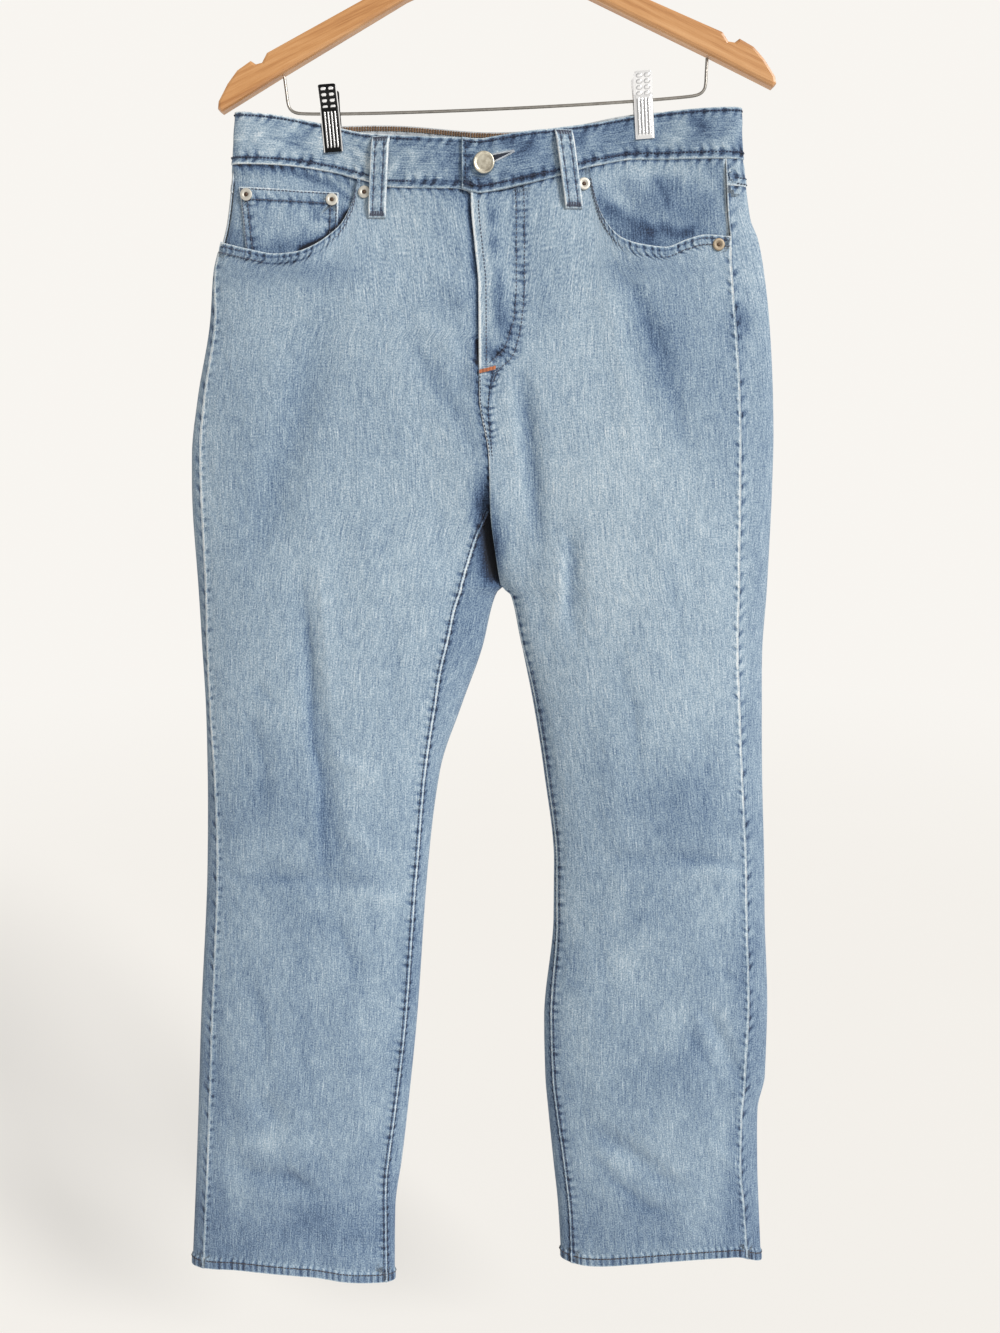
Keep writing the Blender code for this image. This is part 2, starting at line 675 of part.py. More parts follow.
def back_panel(side, name, colour):
    """One grid from the yoke seam to the hem, and a second from the inner fold to the inseam, on the front. On
    the left the second grid reaches up to the crotch seam as the fork that shows between the legs."""
    rows = PANEL_ROWS
    top = seam_heights() - HALF_GAP
    mouth_end = mouth_columns(side)[1][-1]
    edge = np.concatenate([[top[0], (top[0] + mouth_end) / 2], np.linspace(mouth_end, POCKET_ROW, MOUTH_ROWS + 1)])
    down = ((top[0] - edge) / (top[0] - POCKET_ROW))[:-1, None]
    v = np.concatenate([top * (1 - down) + POCKET_ROW * down, np.repeat(rows[:, None], len(top), 1)])
    turn = back_rows(side, v)
    main = (cloth(side, turn, v, hem_lift(v)), cloth(side, turn, v, -DENIM))

    first = CROTCH_ROW if side == LEFT else SPLIT_ROW
    fork_v = rows[first:, None]
    inset = INNERS[side].read("inseam_inset", fork_v)
    width = np.abs(OUTLINES[side].read("outer", fork_v) - inner_x(side, fork_v))
    reach = np.arccos(1 - 2 * inset / width)
    fork_turn = TURN + 1e-9 + reach * np.array([[0.0, 0.35, 0.7, 1.0]])
    fork_v = np.repeat(fork_v, fork_turn.shape[1], 1)
    fork = (cloth(side, fork_turn, fork_v, hem_lift(fork_v)), cloth(side, fork_turn, fork_v, -DENIM))

    index = np.arange(v.size).reshape(v.shape)
    fork_index = np.arange(fork_v.size).reshape(fork_v.shape) + v.size
    above = SPLIT_ROW - first
    fork_index[above:, 0] = index[-(len(rows) - SPLIT_ROW):, -1]
    outer = np.concatenate([main[0].reshape(-1, 3), fork[0].reshape(-1, 3)])
    inner = np.concatenate([main[1].reshape(-1, 3), fork[1].reshape(-1, 3)])
    for (word, start, end), (_, fork_start, fork_end) in zip(stretches(v[:, -1]), stretches(fork_v[:, -1])):
        faces = grid_faces(index[start:end]) + grid_faces(fork_index[fork_start:fork_end])
        kept, compact = np.unique(np.array(faces), return_inverse=True)
        faces = compact.reshape(-1, 3).tolist()
        add_wall(f"{name}_{word}", outer[kept], inner[kept], faces, material(f"denim_{name}_{word}", colour, 0.9))


def waistband(finish):
    """One strip: the flap end over the right, round the back, to the left end under the flap."""
    lapped = np.array([FLAP_END, -13.5, -6.0, 0.0, 6.0, 13.0, UNDERLAP_END])
    flap_x = np.concatenate([lapped, [29.0, 37.0, 45.0]])
    under_x = np.concatenate([[-51.0, -42.0, -34.0, -27.0], lapped])
    round_side = np.concatenate([np.arange(1.15, 2.75, 0.1), [2.8, 2.9, 2.98, 3.04, 3.09, math.pi]])
    over_back = TURN - round_side[:-1][::-1]
    to_centre = np.array([5.3, 5.5, 5.7, 5.95])
    right_turn = np.concatenate([round_side, over_back, to_centre, [TURN]])
    left_turn = np.concatenate([to_centre[::-1], over_back[::-1], round_side[::-1]])
    turns_at = np.concatenate([flap_x, under_x])
    end_side = side_of(turns_at, WAIST_SEAM)
    end_turn = turn_of(end_side, turns_at, WAIST_SEAM)
    flap = len(flap_x)
    sides = np.concatenate([end_side[:flap], np.full(len(right_turn), RIGHT), np.full(len(left_turn), LEFT),
                            end_side[flap:]])
    turns = np.concatenate([end_turn[:flap], right_turn, left_turn, end_turn[flap:]])
    flap_lift = FLAP_LIFT * smooth((FLAP_BLEND_END - flap_x) / (FLAP_BLEND_END - UNDERLAP_END - 4))
    under_lift = -UNDERLAP_DROP * smooth((under_x - UNDERLAP_BLEND_START) / (FLAP_END - 4 - UNDERLAP_BLEND_START))
    lifts = np.concatenate([flap_lift, np.zeros(len(right_turn) + len(left_turn)), under_lift])
    v = np.array([WAIST_SEAM + HALF_GAP, (WAIST_SEAM + BAND_TOP) / 2, BAND_TOP])[:, None]
    outer = cloth(sides, turns, v, lifts)
    return add_grid_wall("waistband", outer, cloth(sides, turns, v, lifts - BAND_CLOTH), finish)


def turned_along(name, x, z, back, finish, profile, sides=20):
    """A turned piece standing on the cloth: a profile of radii and distances out, from the front to the back."""
    centre = on_cloth(x, z, 0.0, back)
    out = face_normal(x, z, back)
    across = np.cross(out, (0, 0, 1))
    across /= np.linalg.norm(across)
    upward = np.cross(across, out)
    angles = np.arange(sides) * TURN / sides
    ring = np.cos(angles)[:, None] * across + np.sin(angles)[:, None] * upward
    points, rings = [], []
    for radius, height in profile:
        base = centre + out * height
        if radius == 0:
            rings.append([len(points)])
            points.append(base)
        else:
            rings.append(list(range(len(points), len(points) + sides)))
            points.extend(base + ring * radius)
    faces = []
    for low, high in zip(rings, rings[1:]):
        for i in range(sides):
            j = (i + 1) % sides
            corners = [low[i % len(low)], low[j % len(low)], high[j % len(high)], high[i % len(high)]]
            faces.append(list(dict.fromkeys(corners)))
    return add_mesh(name, np.array(points), faces, finish, 30)


def button(finish):
    """A domed head on a short neck that stands on the flap."""
    seat = FLAP_LIFT + GAP
    top = seat + BUTTON_HEIGHT
    radius = BUTTON_RADIUS
    profile = ((0, top), (radius * 0.6, top - 0.1), (radius * 0.72, top - 0.3), (radius * 0.92, top - 0.35),
               (radius, top - 1.1), (radius, top - 2.0), (radius * 0.9, seat + 0.9), (BUTTON_NECK, seat + 0.7),
               (BUTTON_NECK, seat), (0, seat))
    return turned_along("button", *BUTTON_PLACE, False, finish, profile, 20)


def rivet(name, x, z, sunk, finish):
    low = RIVET_SEAT - sunk
    high = low + RIVET_HEIGHT
    radius = RIVET_RADIUS
    profile = ((0, high), (radius * 0.3, high), (radius * 0.45, high - 0.5), (radius * 0.65, high - 0.1),
               (radius, low + 0.35), (radius, low), (0, low))
    return turned_along(name, x, z, False, finish, profile, 12)


def pocket_facing(side, name, finish):
    """The denim behind the mouth. It rises to the waist seam and dips under the front's edge."""
    down = np.array([0.0, 0.06, 0.12, 0.2, 0.35, 0.55, 0.75, 1.0])[:, None]
    out = np.array([0.0, 0.12, 0.24, 0.34, 0.44, 0.54, 0.64, 0.74, 0.84, 0.93, 1.0])[None, :]
    start = FACING_INNER_X[side]
    bottom_v = nominal_height(np.array(start * 1.6), np.array(FACING_BOTTOM))
    v = PANEL_TOP * (1 - down) + bottom_v * down
    end = outseam_x(side, v) - side * HALF_GAP
    x = start + (end - start) * out
    v = np.repeat(v, x.shape[1], 1)
    under = smooth(1 - (np.abs(x - start) - 16) / 14)
    at_seam = FACING_AT_SEAM + (UNDER_FRONT - FACING_AT_SEAM) * under
    sunk = smooth((WAIST_SEAM - v) / 12)
    lift = -(at_seam + (FACING_DEPTH[side] - at_seam) * sunk)
    return add_grid_wall(name, front_at(x, v, lift), front_at(x, v, lift - DENIM), finish)


def coin_pocket(finish):
    """It lies on the left facing, with its lower end under the front."""
    across = np.linspace(0, 1, 6)[None, :]
    down = np.linspace(0, 1, 5)[:, None]
    (ax, az), (bx, bz) = COIN_TOP
    (cx, cz), (dx, dz) = COIN_BOTTOM
    x = (ax + (bx - ax) * across) * (1 - down) + (cx + (dx - cx) * across) * down
    z = (az + (bz - az) * across) * (1 - down) + (cz + (dz - cz) * across) * down
    outer = on_cloth(x, z, -UNDER_FRONT)
    inner = on_cloth(x, z, -UNDER_FRONT - PATCH)
    return add_grid_wall("coin_pocket", outer, inner, finish)


def back_pocket(side, name, finish):
    """On the back panel's own rows and columns, with a pointed lower edge."""
    rows = PANEL_ROWS[(PANEL_ROWS <= POCKET_ROW) & (PANEL_ROWS > BACK_POCKET_CORNER)]
    down = (POCKET_ROW - np.append(rows, BACK_POCKET_CORNER)) / (POCKET_ROW - BACK_POCKET_CORNER)
    half = BACK_POCKET_HALF - BACK_POCKET_NARROWING * down
    edges = []
    for end in (1, -1):
        x = BACK_CENTRE + side * (BACK_POCKET_OUT[side] + end * half)
        edges.append(turn_of(side, x, np.append(rows, BACK_POCKET_CORNER), True))
    middle = np.broadcast_to(math.pi * (1 + np.array(POCKET_COLUMNS)), (len(down), len(POCKET_COLUMNS)))
    turn = np.concatenate([edges[0][:, None], middle, edges[1][:, None]], 1)
    turn = np.vstack([turn, turn[-1:]])
    along = (turn[-1] - turn[-1, 0]) / (turn[-1, -1] - turn[-1, 0])
    point = BACK_POCKET_CORNER + (BACK_POCKET_POINT - BACK_POCKET_CORNER) * (1 - np.abs(2 * along - 1))
    v = np.repeat(np.append(rows, BACK_POCKET_CORNER)[:, None], len(along), 1)
    v = np.vstack([v[:-1], [np.full(len(along), BACK_POCKET_CORNER)], [point]])
    v[-1, [0, -1]] = BACK_POCKET_CORNER - 1
    lift = GAP + BACK_POCKET_EDGE_LIFT * (np.arange(len(along)) == 0)
    return add_grid_wall(name, cloth(side, turn, v, lift + PATCH), cloth(side, turn, v, lift), finish)


def belt_loop(name, on_front, top_x, top_z, bottom_x, bottom_z, finish):
    """A strap sewn down at both ends that stands off the band between them."""
    down = np.array([0.0, 0.06, 0.14, 0.3, 0.5, 0.7, 0.86, 0.94, 1.0])[:, None]
    across = np.array([[-0.5, 0.0, 0.5]]) * LOOP_WIDTH
    off = LOOP_STAND_OFF * smooth(down / 0.16) * smooth((1 - down) / 0.16)
    x = top_x + (bottom_x - top_x) * down + across
    z = top_z + (bottom_z - top_z) * down + 0 * across
    lift = GAP + off + 0 * x
    back = not on_front
    return add_grid_wall(name, on_cloth(x, z, lift + LOOP_CLOTH, back), on_cloth(x, z, lift, back), finish)


def fly_zip(finish):
    """Two tapes with their teeth, closed, as one plain strip behind the fly."""
    down = np.linspace(0, 1, 8)[:, None]
    v = (WAIST_SEAM - 8) * (1 - down) + ZIP_END * down
    middle = inner_x(LEFT, v) + 3.0
    x = middle + ZIP_HALF_WIDTH * np.array([[-1.0, -0.2, 0.2, 1.0]])
    v = np.repeat(v, 4, 1)
    lift = -(FLY_DROP + DENIM + GAP)
    return add_grid_wall("fly_zip", front_at(x, v, lift), front_at(x, v, lift - ZIP_THICKNESS), finish)


def tilted(points):
    """From the hanger's upright frame to the part's, turned about the hook's bearing point."""
    x, y, z = np.asarray(points, float).T
    cos, sin = math.cos(HANGER_TILT), math.sin(HANGER_TILT)
    return np.stack([x * cos - z * sin, y, x * sin + z * cos], -1)


def hanger_wood(finish):
    half = list(HANGER_HALF)
    outline = half + [(-x, z) for x, z in reversed(half[1:-1])]
    count = len(outline)
    points = [(x, y, z) for y in (-HANGER_THICKNESS / 2, HANGER_THICKNESS / 2) for x, z in outline]
    sides = [(i, (i + 1) % count, (i + 1) % count + count, i + count) for i in range(count)]
    faces = [list(range(count)), list(range(count, 2 * count))] + sides
    made = add_mesh("hanger_wood", tilted(points), faces, finish)
    bevel = made.modifiers.new("rounded edges", "BEVEL")
    bevel.width = HANGER_ROUNDING * MM
    bevel.segments = 2
    bevel.limit_method = "ANGLE"
    bevel.angle_limit = math.radians(70)
    return made


def add_wire(name, points, radius, finish, sides=8):
    """A round wire along points that lie in an upright plane, with flat ends."""
    ahead = np.diff(points, axis=0)
    ahead /= np.linalg.norm(ahead, axis=1, keepdims=True)
    tangent = np.concatenate([ahead[:1], ahead[:-1] + ahead[1:], ahead[-1:]])
    tangent /= np.linalg.norm(tangent, axis=1, keepdims=True)
    level = np.array([0.0, 1.0, 0.0])
    upward = np.cross(tangent, level)
    angles = np.arange(sides) * TURN / sides
    ring = np.cos(angles)[None, :, None] * level + np.sin(angles)[None, :, None] * upward[:, None, :]
    rings = points[:, None, :] + ring * radius
    index = np.arange(len(points) * sides).reshape(len(points), sides)
    closed = np.hstack([index, index[:, :1]])
    faces = grid_faces(closed) + [index[0].tolist(), index[-1].tolist()]
    return add_mesh(name, rings.reshape(-1, 3), faces, finish, 60)


def hanger_hook(finish):
    """A stem, a short bend and three quarters of a circle whose inner top is the origin."""
    radius = HOOK_RADIUS + HOOK_WIRE
    centre = -HOOK_RADIUS
    join = np.array([radius * math.cos(HOOK_JOIN), centre + radius * math.sin(HOOK_JOIN)])
    along = np.array([-math.sin(HOOK_JOIN), math.cos(HOOK_JOIN)])
    foot = np.array([0.0, HOOK_BEND])
    t = np.linspace(0, 1, 8)[:, None]
    pull = 11.0
    bend = ((1 - t) ** 3 * foot + 3 * (1 - t) ** 2 * t * (foot + (0, pull))
            + 3 * (1 - t) * t**2 * (join - along * pull) + t**3 * join)
    angles = np.linspace(HOOK_JOIN, HOOK_TIP, 25)[1:]
    arc = np.stack([radius * np.cos(angles), centre + radius * np.sin(angles)], -1)
    path = np.concatenate([[(0.0, HOOK_FOOT)], bend, arc])
    points = np.stack([path[:, 0], np.zeros(len(path)), path[:, 1]], -1)
    return add_wire("hanger_hook", tilted(points), HOOK_WIRE, finish)


def bar_path():
    right = np.array(BAR_HALF)
    left = right[:0:-1] * (-1, 1)
    path = np.concatenate([left, right])
    return tilted(np.stack([path[:, 0], np.zeros(len(path)), path[:, 1]], -1))


def bar_height(x):
    path = bar_path()
    return float(np.interp(x, path[:, 0], path[:, 2]))


def clip_frame(x):
    """The point where the clip hangs on the bar, and its own across and down directions."""
    centre = np.array([x, 0.0, bar_height(x)])
    across = np.array([math.cos(CLIP_LEAN), 0.0, math.sin(CLIP_LEAN)])
    down = np.array([math.sin(CLIP_LEAN), 0.0, -math.cos(CLIP_LEAN)])
    return centre, across, down


def clip_leaf(name, x, way, finish):
    """A bent sheet: spread at the handle, close along the jaw. way is -1 in front and 1 behind."""
    centre, across, down = clip_frame(x)
    along, away = np.array(CLIP_PROFILE).T
    level = centre + down * (along - CLIP_BAR_DOWN)[:, None]
    half = CLIP_WIDTH / 2 * np.array([-1.0, 1.0])
    near = level[:, None, :] + across * half[None, :, None] + np.array([0, way, 0]) * away[:, None, None]
    far = near + np.array([0, way * CLIP_SHEET, 0])
    return add_grid_wall(name, far, near, finish)


def clip_barrel(name, x, finish, sides=16):
    """The spring's barrel, a tube round the bar."""
    centre, across, _ = clip_frame(x)
    along = np.array([math.cos(HANGER_TILT), 0.0, math.sin(HANGER_TILT)])
    upward = np.array([-along[2], 0.0, along[0]])
    angles = np.arange(sides) * TURN / sides
    ring = np.cos(angles)[:, None] * np.array([0, 1.0, 0]) + np.sin(angles)[:, None] * upward
    half = along * BARREL_LENGTH / 2
    inner = BAR_WIRE + GAP
    corners = ((BARREL_RADIUS, -1), (BARREL_RADIUS, 1), (inner, 1), (inner, -1))
    points = np.concatenate([centre + half * end + ring * radius for radius, end in corners])
    index = np.arange(4 * sides).reshape(4, sides)
    index = np.vstack([index, index[:1]])
    index = np.hstack([index, index[:, :1]])
    return add_mesh(name, points, grid_faces(index), finish)


def clear_scene():
    for old in list(bpy.data.objects):
        bpy.data.objects.remove(old)


def main():
    clear_scene()
    denim = (0.36, 0.48, 0.60)
    names = {LEFT: "left", RIGHT: "right"}
    for side, word in names.items():
        front_panel(side, f"front_{word}", denim)
        back_panel(side, f"back_{word}", denim)
        yoke(side, f"yoke_{word}", material(f"denim_yoke_{word}", denim, 0.9))
        pocket_facing(side, f"pocket_facing_{word}", material(f"denim_facing_{word}", (0.30, 0.42, 0.56), 0.9))
        back_pocket(side, f"back_pocket_{word}", material(f"denim_back_pocket_{word}", denim, 0.9))
    waistband(material("denim_waistband", (0.34, 0.46, 0.60), 0.9))
    coin_pocket(material("denim_coin_pocket", denim, 0.9))
    for name, *place in LOOPS:
        belt_loop(name, *place, material(f"denim_{name}", (0.38, 0.50, 0.62), 0.9))
    fly_zip(material("zip_tape", (0.55, 0.58, 0.60), 0.7))
    button(material("button_metal", (0.62, 0.60, 0.56), 0.45, 1.0))
    for name, x, z, sunk in RIVETS:
        rivet(name, x, z, sunk, material(f"{name}_metal", (0.60, 0.58, 0.56), 0.4, 1.0))
    hanger_wood(material("varnished_wood", (0.72, 0.40, 0.16), 0.35))
    steel = (0.72, 0.72, 0.72)
    hanger_hook(material("hook_steel", steel, 0.2, 1.0))
    add_wire("hanger_bar", bar_path(), BAR_WIRE, material("bar_steel", steel, 0.2, 1.0))
    for word, x in CLIPS:
        clip_leaf(f"clip_{word}_front", x, -1, material(f"clip_{word}_front_steel", steel, 0.2, 1.0))
        clip_leaf(f"clip_{word}_back", x, 1, material(f"clip_{word}_back_steel", steel, 0.2, 1.0))
        clip_barrel(f"clip_{word}_barrel", x, material(f"clip_{word}_barrel_steel", steel, 0.25, 1.0))


main()
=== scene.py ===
# Straight leg jeans on a clip hanger: fine cloth, stitching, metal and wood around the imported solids.
# Sizes are in millimetres until a mesh is made. Left is -x, seen from the front, and the front faces -y.
import math

import bpy
import numpy as np
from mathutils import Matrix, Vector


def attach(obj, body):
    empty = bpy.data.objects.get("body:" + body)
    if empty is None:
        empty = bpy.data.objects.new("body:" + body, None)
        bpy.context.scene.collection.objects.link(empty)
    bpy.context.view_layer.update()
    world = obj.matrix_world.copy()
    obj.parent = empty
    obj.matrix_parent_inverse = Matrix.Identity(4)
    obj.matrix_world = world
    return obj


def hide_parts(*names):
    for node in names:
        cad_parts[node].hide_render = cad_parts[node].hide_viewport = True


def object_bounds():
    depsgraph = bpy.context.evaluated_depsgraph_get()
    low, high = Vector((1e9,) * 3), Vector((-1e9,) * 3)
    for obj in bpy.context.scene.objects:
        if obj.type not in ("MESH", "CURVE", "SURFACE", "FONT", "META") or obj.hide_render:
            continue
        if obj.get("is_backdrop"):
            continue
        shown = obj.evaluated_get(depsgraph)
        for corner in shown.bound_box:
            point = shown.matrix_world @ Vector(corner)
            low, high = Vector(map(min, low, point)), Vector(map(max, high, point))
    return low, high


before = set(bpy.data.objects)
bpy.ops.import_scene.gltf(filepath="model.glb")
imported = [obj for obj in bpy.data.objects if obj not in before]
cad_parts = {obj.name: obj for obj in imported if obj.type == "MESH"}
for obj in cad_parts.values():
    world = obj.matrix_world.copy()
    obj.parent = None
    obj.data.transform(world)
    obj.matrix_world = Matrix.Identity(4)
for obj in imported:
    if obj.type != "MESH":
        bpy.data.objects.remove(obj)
cadBox = [list(corner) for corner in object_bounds()]
left, right = -1.0, 1.0
sideWords = {left: "left", right: "right"}
stretches = ("upper", "middle", "lower")  # the solids of a leg panel
fullTurn = 2 * math.pi


def placed(name, data):
    # an object of its own in the scene
    item = bpy.data.objects.new(name, data)
    bpy.context.scene.collection.objects.link(item)
    return item


# camera
view = {"place": (0.011, -0.920, -0.503), "tiltDegrees": 80.0, "lens": 37.8, "sensor": 36.0}
cameraData = bpy.data.cameras.new("camera")
cameraData.sensor_fit = "HORIZONTAL"
cameraData.sensor_width = view["sensor"]
cameraData.lens = view["lens"]
cameraObject = placed("camera", cameraData)
cameraObject.location = view["place"]
cameraObject.rotation_euler = (math.radians(view["tiltDegrees"]), 0.0, 0.0)
bpy.context.scene.camera = cameraObject

# the cut of the jeans
cut = {
    "gap": 0.3, "denim": 1.5, "bandCloth": 2.4, "patch": 1.2,
    "bandTop": -203.0, "waistSeam": -244.0, "panelTop": -244.35, "pocketRow": -345.0,
    "flyLapEnd": -388.0, "flyEnd": -410.0, "frontSplitStart": -410.0, "backSplitStart": -400.0,
    "crotchSeam": -528.0, "split": -593.0, "hem": -1262.0, "hemCurveStart": -1150.0,
    "hemHeight": 11.0, "hemLift": 0.9, "waistCurveEnd": -430.0,
}


class Table:
    # rows of named columns, read by the first column on a smooth curve that never swings past the rows
    def __init__(self, columns, *rows):
        values = np.array(sorted(rows), float)
        self.keys = values[:, 0]
        self.values = dict(zip(columns.split(), values.T))

    def read(self, column, at):
        keys, values = self.keys, self.values[column]
        steps = np.diff(keys)
        slopes = np.diff(values) / steps
        product, total = slopes[:-1] * slopes[1:], slopes[:-1] + slopes[1:]
        inner = np.where(product > 0, 2 * product / np.where(total == 0, 1, total), 0)
        tangents = np.concatenate([slopes[:1], inner, slopes[-1:]])
        at = np.clip(at, keys[0], keys[-1])
        cell = np.clip(np.searchsorted(keys, at, side="right") - 1, 0, len(steps) - 1)
        step = steps[cell]
        t = (at - keys[cell]) / step
        rest = 1 - t
        low = values[cell] * (1 + 2 * t) + tangents[cell] * step * t
        high = values[cell + 1] * (3 - 2 * t) - tangents[cell + 1] * step * rest
        return low * rest**2 + high * t**2


# the outer silhouette of the two sides, and how far in from it the outseam lies on the front
outlines = {
    left: Table("height outer outseamInset",
                (-203, -205.0, 2.0), (-244, -209.5, 2.0), (-290, -216.5, 2.0), (-306, -221.0, 2.0),
                (-330, -228.0, 2.5), (-373, -233.5, 6.0), (-434, -247.0, 8.0), (-480, -254.5, 9.5),
                (-528, -256.5, 11.0), (-593, -255.0, 9.5), (-650, -254.0, 7.0), (-700, -253.0, 6.0),
                (-760, -254.0, 9.0), (-850, -258.0, 12.0), (-1000, -271.0, 13.0), (-1080, -277.0, 13.0),
                (-1150, -282.5, 13.0), (-1262, -292.0, 13.0)),
    right: Table("height outer outseamInset",
                 (-203, 208.0, 15.0), (-244, 211.0, 16.0), (-290, 218.0, 20.0), (-306, 225.0, 25.0),
                 (-330, 231.0, 30.0), (-373, 238.0, 32.0), (-434, 244.0, 32.0), (-480, 246.5, 32.0),
                 (-528, 247.0, 31.0), (-593, 246.5, 29.0), (-650, 244.5, 26.0), (-700, 246.0, 24.0),
                 (-760, 248.5, 22.0), (-850, 254.0, 20.0), (-900, 256.5, 20.0), (-1000, 263.0, 21.0),
                 (-1060, 263.5, 22.0), (-1095, 258.0, 18.0), (-1150, 260.0, 19.0), (-1195, 263.0, 17.0),
                 (-1262, 268.0, 16.0)),
}
centre = Table("height x", (-203, -13.0), (-250, -13.0), (-290, -10.0), (-330, -7.0), (-434, -6.5), (-480, 1.0),
               (-528, 3.0), (-573, 10.0), (-593, 14.5))
inners = {
    left: Table("height inner inseamInset",
                (-528, 14.5, 0.8), (-560, 14.5, 18.5), (-573, 14.5, 25.0), (-583, 14.5, 30.2),
                (-589, 14.5, 33.2), (-593, 14.5, 35.2), (-600, 8.0, 30.7), (-650, -5.0, 30.5),
                (-700, -23.0, 22.0), (-760, -43.0, 11.5), (-850, -55.0, 8.2), (-1000, -67.0, 8.9),
                (-1080, -75.5, 10.0), (-1150, -84.0, 11.4), (-1195, -91.0, 7.2), (-1262, -93.0, 6.0)),
    right: Table("height inner inseamInset",
                 (-593, 14.5, 0.8), (-600, 21.5, 1.2), (-650, 31.0, 1.5), (-700, 41.0, 1.5), (-760, 50.5, 1.5),
                 (-850, 60.5, 1.5), (-900, 60.5, 2.0), (-1000, 52.5, 5.0), (-1060, 54.0, 6.0), (-1095, 57.0, 7.0),
                 (-1150, 62.5, 9.0), (-1195, 67.0, 9.5), (-1262, 71.0, 9.0)),
}
# how far front and back stand from the middle plane, for the trunk as one section and for each leg
depths = Table("height trunkFront trunkBack legFront legBack middle",
               (-203, 11, 9, 27, 30, 0.0), (-244, 12, 10, 27, 30, 0.0), (-300, 17, 17, 27, 30, 0.0),
               (-360, 23, 26, 28, 31, 1.0), (-420, 27, 32, 29, 32, 2.0), (-500, 29, 34, 29, 32, 4.0),
               (-593, 27, 30, 29, 31, 5.0), (-700, 27, 28, 27, 28, 3.0), (-850, 24, 24, 24, 24, 0.0),
               (-1000, 22, 22, 22, 22, -1.0), (-1262, 18, 18, 18, 18, -2.0))
pinch = cut["bandCloth"] + cut["gap"] / 2 + 0.1
# the waistband from above, from the centre (0) to the side fold (1): open at the centre, pinched by the clip
waist = Table("share front back", (0.00, 13.0, 7.0), (0.15, 12.5, 7.0), (0.30, 10.0, 6.0), (0.45, 5.0, 4.0),
              (0.54, pinch, pinch), (0.68, pinch, pinch), (0.80, 5.0, 4.5), (0.90, 6.3, 6.0), (1.00, 6.5, 6.5))
# how far the waist seam and the band's top edge sag below their nominal heights
frontCurves = {
    left: Table("x seam top", (-209, -3.0, -4.0), (-165, -4.0, -8.0), (-126, -9.0, -15.0), (-100, -16.0, -21.0),
                (-78, -22.0, -23.5), (-45, -23.5, -26.0), (-24, -23.8, -26.5), (-13, -26.2, -28.0)),
    right: Table("x seam top", (-13, -26.2, -28.0), (-6, -27.6, -28.2), (6, -26.0, -26.5), (27, -21.5, -23.0),
                 (60, -13.0, -18.0), (90, -4.0, -13.0), (122, 1.0, -7.0), (165, 1.0, -3.0), (211, 1.0, -1.0)),
}
backCurve = Table("x seam top", (-209, -3.0, -4.0), (-126, -9.0, -9.0), (-60, -13.5, -13.5), (5, -18.0, -18.0),
                  (60, -15.0, -15.0), (127, -5.0, -5.0), (211, 1.0, -1.0))
# the hem's height over its nominal one, from the inner fold (0) to the outer fold (1)
hemCurves = {
    left: Table("share rise", (0, -17), (0.2, -10), (0.45, 0), (0.75, 4), (1, 1)),
    right: Table("share rise", (0, 8), (0.12, 6), (0.35, 12), (0.7, 17), (0.85, 16), (1, 5)),
}
# the largest folds, as in the solids, are soft troughs: from x and z to x and z, width, depth
frontFolds = (
    (-124, -345, -205, -595, 17, 3.2), (-165, -570, -128, -905, 10, 2.6), (-235, -842, -88, -866, 9, 1.6),
    (-19, -375, -19, -440, 7, 2.0), (-220, -1066, -188, -1105, 12, 2.0), (-258, -1142, -160, -1168, 11, 2.4),
    (26, -402, 44, -560, 9, 2.6), (72, -535, 77, -655, 8, 2.6), (78, -838, 228, -834, 9, 1.7),
    (197, -970, 242, -1080, 9, 3.0), (86, -1095, 196, -1178, 11, 3.0),
)
backFolds = (
    (-70, -535, -190, -600, 14, 2.6), (60, -540, 190, -605, 14, 2.6), (-200, -640, -140, -900, 12, 2.6),
    (190, -660, 140, -880, 12, 2.6), (-250, -1010, -110, -1045, 11, 2.0), (80, -985, 240, -1030, 11, 2.0),
    (-215, -1120, -180, -1215, 10, 2.0), (150, -1110, 180, -1200, 10, 2.0),
)
